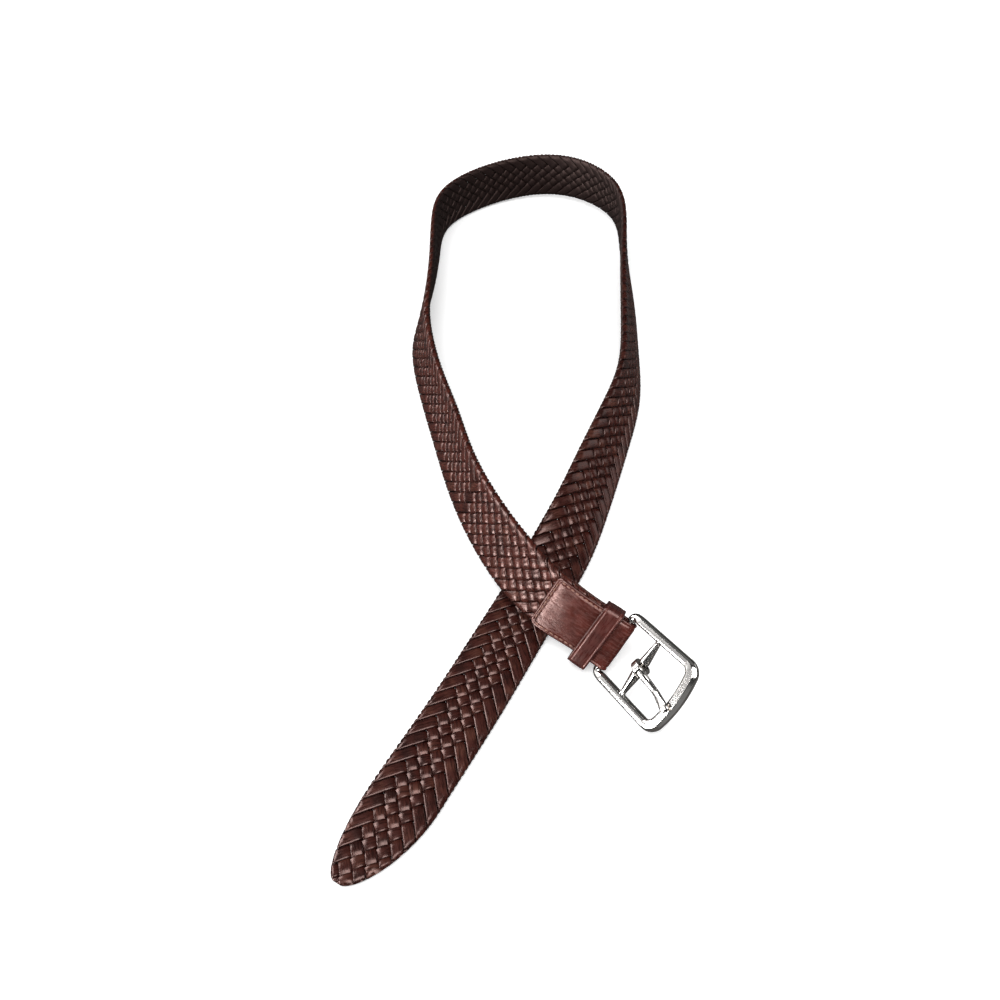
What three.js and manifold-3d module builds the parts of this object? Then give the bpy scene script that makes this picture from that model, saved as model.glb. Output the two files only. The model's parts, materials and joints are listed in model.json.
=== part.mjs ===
import * as THREE from 'three';
import { mergeVertices } from 'three/addons/utils/BufferGeometryUtils.js';
import Module from 'manifold-3d';

const wasm = await Module();
wasm.setup();

// A woven leather belt, laid down as a loop that stands on its edge. Lengths are in millimetres.

// Woven strap
const STRAP_WIDTH = 35;
const STRAP_THICKNESS = 4.5;
const STRAP_END_WIDTH = 29;
const STRAP_END_THICKNESS = 3.1;
const STRAP_NARROWING = 70;
const TIP_LENGTH = 48;
const TIP_BLUNT_WIDTH = 4;
const TIP_SKEW = 3.4;
const TIP_THICKNESS = 3.4;

// Lay of the strap on the surface, measured along its centre line
const LAY_WIDTH = 150;
const LAY_DEPTH = 560;

// Leather end, folded round the rear bar of the buckle
const LEATHER_THICKNESS = 1.5;
const CHAPE_WIDTH = 28;
const CHAPE_LENGTH = 38.5;
const CHAPE_CORNER_RADIUS = 3;

// Loop beside the buckle
const KEEPER_WIDTH = 10;
const KEEPER_SETBACK = 4.9;
const KEEPER_THICKNESS = 1.5;
const KEEPER_SIDE_ROOM = 2.7;
const KEEPER_DROP = 1.2;
const KEEPER_CORNER_RADIUS = 3.2;

// Buckle frame
const FRAME_REAR_WIDTH = 40;
const FRAME_FRONT_WIDTH = 42;
const FRAME_REACH = 46.2;
const FRONT_BOW = 2.5;
const REAR_BAR_DIAMETER = 4.2;
const SIDE_BAR_WIDTH = 4.7;
const SIDE_BAR_HEIGHT = 4.8;
const FRONT_BAR_WIDTH = 6.3;
const FRONT_BAR_HEIGHT = 5.4;
const REAR_CORNER_RADIUS = 4.6;
const FRONT_CORNER_RADIUS = 7.5;
const BUCKLE_BEND = 32;
const BUCKLE_SLIDE = 0.2;

// Centre bar, thin at its ends and thick beside the prong
const CENTRE_BAR_REACH = 18.5;
const CENTRE_BAR_END_DIAMETER = 2.8;
const CENTRE_BAR_SHOULDER_DIAMETER = 5.2;
const CENTRE_BAR_WAIST_DIAMETER = 3;

// Prong
const PRONG_RING_WIDTH = 4;
const PRONG_RING_WALL = 1.7;
const PRONG_RING_PLAY = 0.75;
const PRONG_WIDTH = 4.6;
const PRONG_THICKNESS = 2.4;
const PRONG_OVERHANG = 3.6;
const PRONG_SKEW = 11;

// Clearance between pieces
const FIT_GAP = 0.3;

// Rows run from the tip to the buckle, one for each control point of the centre line.
// across is a share of LAY_WIDTH, away a share of LAY_DEPTH and lift a share of STRAP_THICKNESS;
// lean is in degrees, 0 where the strap lies flat and 90 where it stands on its lower edge.
const LAY_SECTIONS = [
  { across: -0.540, away: -0.448, lean: 0, lift: 0 },
  { across: -0.440, away: -0.398, lean: 0, lift: 0 },
  { across: -0.275, away: -0.318, lean: 0, lift: 0 },
  { across: -0.115, away: -0.246, lean: 0, lift: 0 },
  { across: 0.030, away: -0.172, lean: 0, lift: 0 },
  { across: 0.170, away: -0.102, lean: 0, lift: 0 },
  { across: 0.280, away: -0.050, lean: 34, lift: 0 },
  { across: 0.370, away: 0.014, lean: 43, lift: 0 },
  { across: 0.475, away: 0.088, lean: 57, lift: 0 },
  { across: 0.560, away: 0.150, lean: 66, lift: 0.2 },
  { across: 0.580, away: 0.232, lean: 69, lift: 0.1 },
  { across: 0.600, away: 0.310, lean: 71, lift: 0 },
  { across: 0.610, away: 0.382, lean: 77, lift: 0.2 },
  { across: 0.620, away: 0.450, lean: 90, lift: 0.4 },
  { across: 0.630, away: 0.528, lean: 82, lift: 0.9 },
  { across: 0.430, away: 0.592, lean: 90, lift: 0.8 },
  { across: 0.185, away: 0.606, lean: 90, lift: 0.4 },
  { across: -0.100, away: 0.576, lean: 94, lift: 0 },
  { across: -0.315, away: 0.518, lean: 89, lift: 0 },
  { across: -0.325, away: 0.448, lean: 94, lift: 0 },
  { across: -0.325, away: 0.368, lean: 86, lift: 0 },
  { across: -0.345, away: 0.294, lean: 77, lift: 0.2 },
  { across: -0.365, away: 0.234, lean: 69, lift: 0.5 },
  { across: -0.295, away: 0.146, lean: 72, lift: 0.2 },
  { across: -0.215, away: 0.076, lean: 65, lift: 0.4 },
  { across: -0.155, away: 0.004, lean: 67, lift: 1 },
  { across: -0.045, away: -0.074, lean: 60, lift: 2 },
  { across: 0.130, away: -0.158, lean: 56, lift: 2.7 },
  { across: 0.400, away: -0.196, lean: 55, lift: 0.2 },
  { across: 0.560, away: -0.225, lean: 16, lift: -1 },
];

// Rows run along the prong from its ring to its point, in shares of its reach, width and thickness.
// rise is the height of the middle line, as a share of the height at which it crosses the front bar.
const PRONG_SECTIONS = [
  { reach: 0, rise: 0.72, width: 0.92, thickness: 1 },
  { reach: 0.16, rise: 0.7, width: 0.9, thickness: 1 },
  { reach: 0.38, rise: 0.46, width: 0.78, thickness: 1 },
  { reach: 0.58, rise: 0.42, width: 0.76, thickness: 1 },
  { reach: 0.76, rise: 0.74, width: 0.9, thickness: 1 },
  { reach: 0.88, rise: 1, width: 1, thickness: 0.95 },
  { reach: 0.96, rise: 1.02, width: 0.84, thickness: 0.85 },
  { reach: 1, rise: 0.98, width: 0.5, thickness: 0.6 },
];

// How finely curves are divided
const LAY_SAMPLES = 1600;
const STRAP_STEP = 6.5;
const TIP_STEPS = 9;
const STRAP_EDGE_SEGMENTS = 4;
const CORNER_SHARES = [0, 0.1, 0.33, 0.67, 1];
const CHAPE_STEPS = 9;
const FOLD_SEGMENTS = 10;
const CORNER_SEGMENTS = 6;
const STRAIGHT_STEPS = 5;
const BAR_SEGMENTS = 14;
const RING_SEGMENTS = 20;
const PRONG_STEPS = 16;

// Shape of the bars: how square their section is, and how far the centre bar flares at the frame
const BAR_SQUARENESS = 0.7;
const COLLAR_FLARE = 1.35;

// Shape of the tip: how full its sides are, and how much its cuts gather at the point
const TIP_FULLNESS = 0.62;
const TIP_GATHERING = 1.6;
const TIP_EDGE_SHARE = 0.8;

// Half the stretch of the middle line over which its direction is taken
const DIRECTION_REACH = 1;

// Sizes that follow from the ones above
const REAR_BAR_RADIUS = REAR_BAR_DIAMETER / 2;
const FOLD_HALF_GAP = Math.max(STRAP_END_THICKNESS / 2, REAR_BAR_RADIUS) + FIT_GAP;
const FOLD_OUTSIDE = FOLD_HALF_GAP + LEATHER_THICKNESS;
const STRAP_END_SETBACK = REAR_BAR_RADIUS + 3 * FIT_GAP;
const FRONT_BAR_REACH = FRAME_REACH - FRONT_BAR_WIDTH / 2;
const PRONG_RING_BORE = CENTRE_BAR_WAIST_DIAMETER / 2 + PRONG_RING_PLAY;
const PRONG_RING_RADIUS = PRONG_RING_BORE + PRONG_RING_WALL;
const PRONG_SKEW_ANGLE = THREE.MathUtils.degToRad(PRONG_SKEW);
const PRONG_REACH = (FRONT_BAR_REACH - FRONT_BAR_WIDTH / 2 - CENTRE_BAR_REACH + PRONG_OVERHANG)
  / Math.cos(PRONG_SKEW_ANGLE);
const PRONG_CROSSING_HEIGHT = FRONT_BAR_HEIGHT / 2 + FIT_GAP + PRONG_THICKNESS / 2;
const WAIST_HALF_LENGTH = PRONG_RING_WIDTH / 2 + PRONG_RING_RADIUS * Math.sin(PRONG_SKEW_ANGLE) + FIT_GAP;

const UP = new THREE.Vector3(0, 0, 1);

const leatherBraid = new THREE.MeshStandardMaterial({ color: 0x4a2520, roughness: 0.5, metalness: 0 });
const leatherSmooth = new THREE.MeshStandardMaterial({ color: 0x6e3129, roughness: 0.35, metalness: 0 });
const polishedMetal = new THREE.MeshStandardMaterial({ color: 0xb9bbbd, roughness: 0.18, metalness: 1 });

function smoothStep(from, to, value) {
  const share = THREE.MathUtils.clamp((value - from) / (to - from), 0, 1);
  return share * share * (3 - 2 * share);
}

// Volume inside a closed mesh, negative where its faces point inwards.
function enclosedVolume(points, indices) {
  let volume = 0;
  for (let face = 0; face < indices.length; face += 3) {
    const [a, b, c] = indices.slice(face, face + 3).map((index) => points[index]);
    volume += a.dot(b.clone().cross(c)) / 6;
  }
  return volume;
}

// A closed solid skinned over rings of points. Every ring has the same number of points.
function loft(rings, isClosed) {
  const ringSize = rings[0].length;
  const positions = rings.flat().flatMap((point) => [point.x, point.y, point.z]);
  const indices = [];
  const spans = isClosed ? rings.length : rings.length - 1;
  for (let ring = 0; ring < spans; ring += 1) {
    const here = ring * ringSize;
    const next = ((ring + 1) % rings.length) * ringSize;
    for (let corner = 0; corner < ringSize; corner += 1) {
      const following = (corner + 1) % ringSize;
      indices.push(here + corner, here + following, next + following);
      indices.push(here + corner, next + following, next + corner);
    }
  }
  if (!isClosed) {
    const last = (rings.length - 1) * ringSize;
    for (let corner = 1; corner < ringSize - 1; corner += 1) {
      indices.push(0, corner + 1, corner);
      indices.push(last, last + corner, last + corner + 1);
    }
  }
  const geometry = new THREE.BufferGeometry();
  geometry.setAttribute('position', new THREE.Float32BufferAttribute(positions, 3));
  geometry.setIndex(enclosedVolume(rings.flat(), indices) < 0 ? indices.reverse() : indices);
  return geometry;
}

// Weights of the four control points that shape one span of a uniform cubic B-spline.
function splineWeights(share) {
  const rest = 1 - share;
  return [
    rest ** 3 / 6,
    (3 * share ** 3 - 6 * share ** 2 + 4) / 6,
    (-3 * share ** 3 + 3 * share ** 2 + 3 * share + 1) / 6,
    share ** 3 / 6,
  ];
}

// The middle line of the strap at one place of the lay, from 0 at the tip to 1 at the buckle's rear bar.
function layPoint(place) {
  const spans = LAY_SECTIONS.length - 3;
  const span = Math.min(Math.floor(place * spans), spans - 1);
  const weights = splineWeights(place * spans - span);
  const rows = LAY_SECTIONS.slice(span, span + 4);
  const mix = (column) => rows.reduce((sum, row, index) => sum + weights[index] * row[column], 0);
  const lean = THREE.MathUtils.degToRad(mix('lean'));
  const restingHeight = STRAP_THICKNESS / 2 + (STRAP_WIDTH - STRAP_THICKNESS) / 2 * Math.abs(Math.sin(lean));
  const height = restingHeight + mix('lift') * STRAP_THICKNESS;
  return { position: new THREE.Vector3(mix('across') * LAY_WIDTH, mix('away') * LAY_DEPTH, height), lean };
}

// The lay as a list of places with their distance from the tip.
function sampleLay() {
  const samples = [];
  let distance = 0;
  for (let index = 0; index <= LAY_SAMPLES; index += 1) {
    const sample = layPoint(index / LAY_SAMPLES);
    if (index > 0) {
      distance += sample.position.distanceTo(samples[index - 1].position);
    }
    samples.push({ ...sample, distance });
  }
  return samples;
}

const laySamples = sampleLay();
const BELT_LENGTH = laySamples[LAY_SAMPLES].distance;

// Place on the middle line at a distance from the tip. Past either end the line runs on straight.
function lineAt(distance) {
  const inside = THREE.MathUtils.clamp(distance, 0, BELT_LENGTH);
  let low = 0;
  let high = LAY_SAMPLES;
  while (high - low > 1) {
    const middle = Math.floor((low + high) / 2);
    if (laySamples[middle].distance <= inside) {
      low = middle;
    } else {
      high = middle;
    }
  }
  const start = laySamples[low];
  const end = laySamples[high];
  const share = (distance - start.distance) / (end.distance - start.distance);
  const leanShare = (inside - start.distance) / (end.distance - start.distance);
  return {
    position: start.position.clone().lerp(end.position, share),
    lean: THREE.MathUtils.lerp(start.lean, end.lean, leanShare),
  };
}

// Directions of the strap at a distance from the tip: along it, across it and out of its outer face.
function strapFrame(distance) {
  const inside = THREE.MathUtils.clamp(distance, DIRECTION_REACH, BELT_LENGTH - DIRECTION_REACH);
  const { position } = lineAt(distance);
  const { lean } = lineAt(inside);
  const before = lineAt(inside - DIRECTION_REACH).position;
  const after = lineAt(inside + DIRECTION_REACH).position;
  const along = after.sub(before).normalize();
  const level = UP.clone().cross(along).normalize();
  const rising = along.clone().cross(level);
  const across = level.multiplyScalar(Math.cos(lean)).addScaledVector(rising, Math.sin(lean));
  const outward = along.clone().cross(across);
  return { position, along, across, outward };
}

// A point of the belt, given by its distance from the tip, its place across the strap and its height.
function beltPoint(distance, across, height) {
  const frame = strapFrame(distance);
  return frame.position.addScaledVector(frame.across, across).addScaledVector(frame.outward, height);
}

// Half the width of the strap, which comes to a blunt round point and narrows where it enters the chape.
function strapHalfWidth(distance, strapEnd) {
  const full = STRAP_WIDTH / 2;
  const blunt = TIP_BLUNT_WIDTH / 2;
  const fromPoint = Math.min(distance / TIP_LENGTH, 1);
  const tip = blunt + (full - blunt) * (1 - (1 - fromPoint) ** 2) ** TIP_FULLNESS;
  const narrowing = smoothStep(strapEnd - STRAP_NARROWING, strapEnd, distance);
  return tip - (full - STRAP_END_WIDTH / 2) * narrowing;
}

// Section of the strap: flat faces and round edges.
function strapSection(distance, strapEnd) {
  const halfWidth = strapHalfWidth(distance, strapEnd);
  const fromPoint = Math.min(distance / TIP_LENGTH, 1);
  const narrowing = smoothStep(strapEnd - STRAP_NARROWING, strapEnd, distance);
  const front = THREE.MathUtils.lerp(TIP_THICKNESS, STRAP_THICKNESS, smoothStep(0, 1, fromPoint));
  const halfThickness = THREE.MathUtils.lerp(front, STRAP_END_THICKNESS, narrowing) / 2;
  const drop = (front - STRAP_THICKNESS) / 2;
  const roundness = Math.min(halfThickness, halfWidth * TIP_EDGE_SHARE);
  const skew = TIP_SKEW * (1 - fromPoint) ** 2;
  const ring = [];
  for (const side of [1, -1]) {
    for (let step = 0; step <= STRAP_EDGE_SEGMENTS; step += 1) {
      const angle = side * (Math.PI / 2 - Math.PI * step / STRAP_EDGE_SEGMENTS);
      const across = skew + side * (halfWidth - roundness + roundness * Math.cos(angle));
      ring.push(beltPoint(distance, across, drop + halfThickness * Math.sin(angle)));
    }
  }
  return ring.reverse();
}

function buildStrap() {
  const strapEnd = BELT_LENGTH - STRAP_END_SETBACK;
  const distances = [];
  for (let step = 0; step < TIP_STEPS; step += 1) {
    distances.push(TIP_LENGTH * (step / TIP_STEPS) ** TIP_GATHERING);
  }
  const steps = Math.round((strapEnd - TIP_LENGTH) / STRAP_STEP);
  for (let step = 0; step <= steps; step += 1) {
    distances.push(THREE.MathUtils.lerp(TIP_LENGTH, strapEnd, step / steps));
  }
  return loft(distances.map((distance) => strapSection(distance, strapEnd)), false);
}

// Half the width of the chape, whose free corners are round.
function chapeHalfWidth(fromStart) {
  const missing = Math.max(CHAPE_CORNER_RADIUS - fromStart, 0);
  const rounding = CHAPE_CORNER_RADIUS - Math.sqrt(CHAPE_CORNER_RADIUS ** 2 - missing ** 2);
  return CHAPE_WIDTH / 2 - rounding;
}

// One leather strip that runs over the strap, round the rear bar and back under the strap.
function buildChape() {
  const flatRun = CORNER_SHARES.map((share) => share * CHAPE_CORNER_RADIUS);
  for (let step = 1; step <= CHAPE_STEPS; step += 1) {
    flatRun.push(THREE.MathUtils.lerp(CHAPE_CORNER_RADIUS, CHAPE_LENGTH, step / CHAPE_STEPS));
  }
  const stations = flatRun.map((run) => ({ run, turn: 0, fromStart: run }));
  for (let step = 1; step < FOLD_SEGMENTS; step += 1) {
    stations.push({ run: CHAPE_LENGTH, turn: Math.PI * step / FOLD_SEGMENTS, fromStart: CHAPE_LENGTH });
  }
  const back = flatRun.map((run) => ({ run, turn: Math.PI, fromStart: run })).reverse();
  stations.push(...back);
  const rings = stations.map(({ run, turn, fromStart }) => {
    const halfWidth = chapeHalfWidth(fromStart);
    const place = (radius, across) => {
      const distance = BELT_LENGTH - CHAPE_LENGTH + run + radius * Math.sin(turn);
      return beltPoint(distance, across, radius * Math.cos(turn));
    };
    return [
      place(FOLD_OUTSIDE, halfWidth),
      place(FOLD_OUTSIDE, -halfWidth),
      place(FOLD_HALF_GAP, -halfWidth),
      place(FOLD_HALF_GAP, halfWidth),
    ];
  });
  return loft(rings, false);
}

// Outline of a rectangle with round corners, as points with the direction that faces out of it.
function roundedRectangle(halfWidth, halfHeight, radius) {
  const outline = [];
  const quarters = [[1, 1], [-1, 1], [-1, -1], [1, -1]];
  quarters.forEach(([right, up], quarter) => {
    for (let step = 0; step <= CORNER_SEGMENTS; step += 1) {
      const angle = Math.PI / 2 * (quarter + step / CORNER_SEGMENTS);
      const facing = new THREE.Vector2(Math.cos(angle), Math.sin(angle));
      const centre = new THREE.Vector2(right * (halfWidth - radius), up * (halfHeight - radius));
      outline.push({ point: centre.addScaledVector(facing, radius), facing });
    }
  });
  return outline;
}

// A leather loop round the chape.
function buildKeeper() {
  const innerHalfWidth = CHAPE_WIDTH / 2 + KEEPER_SIDE_ROOM;
  const innerHalfHeight = FOLD_OUTSIDE + 2 * FIT_GAP;
  const outline = roundedRectangle(
    innerHalfWidth + KEEPER_THICKNESS,
    innerHalfHeight + KEEPER_THICKNESS,
    KEEPER_CORNER_RADIUS,
  );
  const rear = BELT_LENGTH - KEEPER_SETBACK - KEEPER_WIDTH;
  const front = BELT_LENGTH - KEEPER_SETBACK;
  const rings = outline.map(({ point, facing }) => {
    const inside = point.clone().addScaledVector(facing, -KEEPER_THICKNESS);
    return [
      beltPoint(rear, point.x - KEEPER_DROP, point.y),
      beltPoint(rear, inside.x - KEEPER_DROP, inside.y),
      beltPoint(front, inside.x - KEEPER_DROP, inside.y),
      beltPoint(front, point.x - KEEPER_DROP, point.y),
    ];
  });
  return loft(rings, true);
}

// A solid for joining and cutting, from the geometry of a closed mesh.
function solidOf(geometry) {
  const bare = geometry.clone();
  bare.deleteAttribute('normal');
  bare.deleteAttribute('uv');
  const merged = mergeVertices(bare, 1e-4);
  return new wasm.Manifold(new wasm.Mesh({
    numProp: 3,
    vertProperties: new Float32Array(merged.attributes.position.array),
    triVerts: new Uint32Array(merged.index.array),
  }));
}

function geometryOf(solid) {
  const mesh = solid.getMesh();
  const geometry = new THREE.BufferGeometry();
  geometry.setAttribute('position', new THREE.Float32BufferAttribute(mesh.vertProperties, 3));
  geometry.setIndex(Array.from(mesh.triVerts));
  return geometry;
}

// Soft-cornered section of a bar: squareness 1 gives an ellipse, and less gives a fuller form.
function barSection(halfWidth, halfHeight, squareness) {
  const ring = [];
  for (let step = 0; step < BAR_SEGMENTS; step += 1) {
    const angle = 2 * Math.PI * step / BAR_SEGMENTS;
    const side = Math.sign(Math.cos(angle)) * Math.abs(Math.cos(angle)) ** squareness;
    const up = Math.sign(Math.sin(angle)) * Math.abs(Math.sin(angle)) ** squareness;
    ring.push(new THREE.Vector2(halfWidth * side, halfHeight * up));
  }
  return ring;
}

// Middle line of the frame's bars, seen from above: x runs from the rear bar to the front bar.
function framePath() {
  const rearHalf = (FRAME_REAR_WIDTH - SIDE_BAR_WIDTH) / 2;
  const frontHalf = (FRAME_FRONT_WIDTH - SIDE_BAR_WIDTH) / 2;
  const frontReach = FRONT_BAR_REACH - FRONT_BOW;
  const rearRadius = REAR_CORNER_RADIUS - REAR_BAR_RADIUS;
  const frontRadius = FRONT_CORNER_RADIUS - FRONT_BAR_WIDTH / 2;
  const corners = [
    { at: new THREE.Vector2(0, -rearHalf), radius: rearRadius },
    { at: new THREE.Vector2(frontReach, -frontHalf), radius: frontRadius },
    { at: new THREE.Vector2(frontReach, frontHalf), radius: frontRadius },
    { at: new THREE.Vector2(0, rearHalf), radius: rearRadius },
  ];
  const arcs = corners.map(({ at, radius }, index) => {
    const toBefore = corners[(index + 3) % 4].at.clone().sub(at).normalize();
    const toAfter = corners[(index + 1) % 4].at.clone().sub(at).normalize();
    const halfAngle = Math.acos(toBefore.dot(toAfter)) / 2;
    const middle = toBefore.clone().add(toAfter).normalize();
    const centre = at.clone().addScaledVector(middle, radius / Math.sin(halfAngle));
    const start = at.clone().addScaledVector(toBefore, radius / Math.tan(halfAngle)).sub(centre).angle();
    const points = [];
    for (let step = 0; step <= CORNER_SEGMENTS; step += 1) {
      const angle = start + (Math.PI - 2 * halfAngle) * step / CORNER_SEGMENTS;
      points.push(new THREE.Vector2(Math.cos(angle), Math.sin(angle)).multiplyScalar(radius).add(centre));
    }
    return points;
  });
  return arcs.flatMap((arc, index) => {
    const last = arc[arc.length - 1];
    const next = arcs[(index + 1) % 4][0];
    const straight = [];
    for (let step = 1; step < STRAIGHT_STEPS; step += 1) {
      straight.push(last.clone().lerp(next, step / STRAIGHT_STEPS));
    }
    return [...arc, ...straight];
  }).map((point) => {
    const bow = FRONT_BOW * (point.x / frontReach) ** 4 * (1 - (point.y / frontHalf) ** 2);
    return new THREE.Vector2(point.x + bow, point.y);
  });
}

// Ring of the frame: a round rear bar, slimmer sides and a broad front bar.
function buildFrameRing() {
  const path = framePath();
  const rings = path.map((point, index) => {
    const before = path[(index + path.length - 1) % path.length];
    const after = path[(index + 1) % path.length];
    const along = after.clone().sub(before).normalize();
    const side = smoothStep(0, REAR_CORNER_RADIUS, point.x);
    const front = smoothStep(FRONT_BAR_REACH - FRONT_CORNER_RADIUS, FRONT_BAR_REACH - FRONT_BOW, point.x);
    const rearToSide = (rear, middle) => THREE.MathUtils.lerp(rear, middle, side);
    const width = THREE.MathUtils.lerp(rearToSide(REAR_BAR_DIAMETER, SIDE_BAR_WIDTH), FRONT_BAR_WIDTH, front);
    const height = THREE.MathUtils.lerp(rearToSide(REAR_BAR_DIAMETER, SIDE_BAR_HEIGHT), FRONT_BAR_HEIGHT, front);
    return barSection(width / 2, height / 2, rearToSide(1, BAR_SQUARENESS)).map((corner) => new THREE.Vector3(
      point.x + along.y * corner.x,
      point.y - along.x * corner.x,
      corner.y,
    ));
  });
  return loft(rings, true);
}

// Centre bar: a thin end at each side, a cone up to a shoulder, and a waist for the prong.
function buildCentreBar() {
  const share = CENTRE_BAR_REACH / FRONT_BAR_REACH;
  const halfLength = (THREE.MathUtils.lerp(FRAME_REAR_WIDTH, FRAME_FRONT_WIDTH, share) - SIDE_BAR_WIDTH) / 2;
  const inside = halfLength - SIDE_BAR_WIDTH / 2;
  const end = CENTRE_BAR_END_DIAMETER / 2;
  const shoulder = CENTRE_BAR_SHOULDER_DIAMETER / 2;
  const waist = CENTRE_BAR_WAIST_DIAMETER / 2;
  const half = [
    new THREE.Vector2(0, halfLength),
    new THREE.Vector2(end * COLLAR_FLARE, halfLength),
    new THREE.Vector2(end * COLLAR_FLARE, inside),
    new THREE.Vector2(end, inside - end),
    new THREE.Vector2(shoulder, WAIST_HALF_LENGTH + waist),
    new THREE.Vector2(shoulder, WAIST_HALF_LENGTH + FIT_GAP),
    new THREE.Vector2(shoulder - FIT_GAP, WAIST_HALF_LENGTH),
    new THREE.Vector2(waist, WAIST_HALF_LENGTH),
  ];
  const mirrored = half.map(({ x, y }) => new THREE.Vector2(x, -y)).reverse();
  const profile = [...half, ...mirrored].reverse();
  return new THREE.LatheGeometry(profile, BAR_SEGMENTS).translate(CENTRE_BAR_REACH, 0, 0);
}

function buildFrame() {
  return geometryOf(solidOf(buildFrameRing()).add(solidOf(buildCentreBar())));
}

// Prong, with its ring round the origin and its point towards +x.
function buildProng() {
  const line = new THREE.SplineCurve(PRONG_SECTIONS.map(({ reach, rise }) => new THREE.Vector2(
    reach * PRONG_REACH,
    rise * PRONG_CROSSING_HEIGHT,
  )));
  const girth = new THREE.SplineCurve(PRONG_SECTIONS.map(({ width, thickness }) => new THREE.Vector2(
    width * PRONG_WIDTH,
    thickness * PRONG_THICKNESS,
  )));
  const rings = [];
  for (let step = 0; step <= PRONG_STEPS; step += 1) {
    const share = step / PRONG_STEPS;
    const middle = line.getPoint(share);
    const along = line.getTangent(share);
    const size = girth.getPoint(share);
    rings.push(barSection(size.x / 2, size.y / 2, BAR_SQUARENESS).map((corner) => new THREE.Vector3(
      middle.x - along.y * corner.y,
      corner.x,
      middle.y + along.x * corner.y,
    )));
  }
  const ring = new THREE.CylinderGeometry(PRONG_RING_RADIUS, PRONG_RING_RADIUS, PRONG_RING_WIDTH, RING_SEGMENTS);
  const bore = new THREE.CylinderGeometry(PRONG_RING_BORE, PRONG_RING_BORE, 2 * PRONG_RING_WIDTH, RING_SEGMENTS);
  return geometryOf(solidOf(loft(rings, false)).add(solidOf(ring)).subtract(solidOf(bore)));
}

function named(name, geometry, material) {
  const mesh = new THREE.Mesh(geometry, material);
  mesh.name = name;
  return mesh;
}

// The buckle turns on its rear bar, which lies in the fold of the chape.
function buildBuckle() {
  const end = strapFrame(BELT_LENGTH);
  const bend = THREE.MathUtils.degToRad(BUCKLE_BEND);
  const forward = end.along.clone().multiplyScalar(Math.cos(bend)).addScaledVector(end.outward, Math.sin(bend));
  const upward = forward.clone().cross(end.across);
  const buckle = new THREE.Group();
  buckle.setRotationFromMatrix(new THREE.Matrix4().makeBasis(forward, end.across, upward));
  buckle.position.copy(end.position).addScaledVector(end.across, BUCKLE_SLIDE);
  buckle.add(named('buckle_frame', buildFrame(), polishedMetal));
  const prong = named('buckle_prong', buildProng(), polishedMetal);
  prong.position.x = CENTRE_BAR_REACH;
  prong.rotation.z = -PRONG_SKEW_ANGLE;
  buckle.add(prong);
  return buckle;
}

const belt = new THREE.Group();
belt.add(named('woven_strap', buildStrap(), leatherBraid));
belt.add(named('chape', buildChape(), leatherSmooth));
belt.add(named('keeper', buildKeeper(), leatherSmooth));
belt.add(buildBuckle());

// The origin is below the middle of the belt, on the surface that it lies on.
belt.updateMatrixWorld(true);
const bounds = new THREE.Box3().setFromObject(belt, true);
const middle = bounds.getCenter(new THREE.Vector3());
belt.position.set(-middle.x, -middle.y, -bounds.min.z);

export default belt;
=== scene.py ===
import json
import logging
from dataclasses import dataclass, field
from enum import Enum
from functools import cached_property

import bpy
import numpy as np
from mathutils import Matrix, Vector
from numpy.typing import NDArray


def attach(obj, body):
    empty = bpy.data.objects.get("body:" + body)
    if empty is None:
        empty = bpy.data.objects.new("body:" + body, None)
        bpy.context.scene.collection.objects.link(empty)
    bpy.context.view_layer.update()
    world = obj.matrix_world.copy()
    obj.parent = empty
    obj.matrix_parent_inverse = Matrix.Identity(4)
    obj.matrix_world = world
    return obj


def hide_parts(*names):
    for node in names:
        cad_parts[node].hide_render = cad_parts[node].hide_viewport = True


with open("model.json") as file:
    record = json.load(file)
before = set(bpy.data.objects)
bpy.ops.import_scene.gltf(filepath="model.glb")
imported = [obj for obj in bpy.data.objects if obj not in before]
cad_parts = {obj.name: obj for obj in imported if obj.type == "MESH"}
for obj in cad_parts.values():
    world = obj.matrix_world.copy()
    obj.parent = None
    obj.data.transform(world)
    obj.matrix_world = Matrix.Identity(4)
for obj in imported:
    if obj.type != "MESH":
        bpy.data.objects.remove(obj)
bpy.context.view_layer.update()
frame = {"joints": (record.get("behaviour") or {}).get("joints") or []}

log = logging.getLogger("belt")

Array = NDArray[np.float64]
Faces = NDArray[np.int64]
Colour = tuple[float, float, float]
Socket = bpy.types.NodeSocket

MM = 0.001
UP = np.array([0.0, 0.0, 1.0])


class Body(Enum):
    """The rigid bodies that the pieces ride on."""

    BELT = "belt"
    BUCKLE = "buckle"
    PRONG = "prong"


class Slot(Enum):
    """The finishes that the record names."""

    WOVEN = "woven_leather"
    SMOOTH = "smooth_leather"
    METAL = "polished_nickel"


# ---- Helpers for whole arrays ----


def smooth_step(low: float, high: float, value: Array) -> Array:
    """Cubic ease of each number, from 0 at low to 1 at high."""
    share = np.clip((value - low) / (high - low), 0.0, 1.0)
    return share * share * (3.0 - 2.0 * share)


def bell(value: Array, width: float) -> Array:
    """Gaussian bump, 1 at zero and about a third at the given width."""
    return np.exp(-((value / width) ** 2))


def unit(vectors: Array) -> Array:
    """Vectors scaled to length one."""
    return vectors / np.maximum(np.linalg.norm(vectors, axis=-1, keepdims=True), 1e-12)


def signed_power(value: Array, power: float | Array) -> Array:
    """Power of the size of each number, with its sign kept."""
    return np.sign(value) * np.abs(value) ** power


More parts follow.
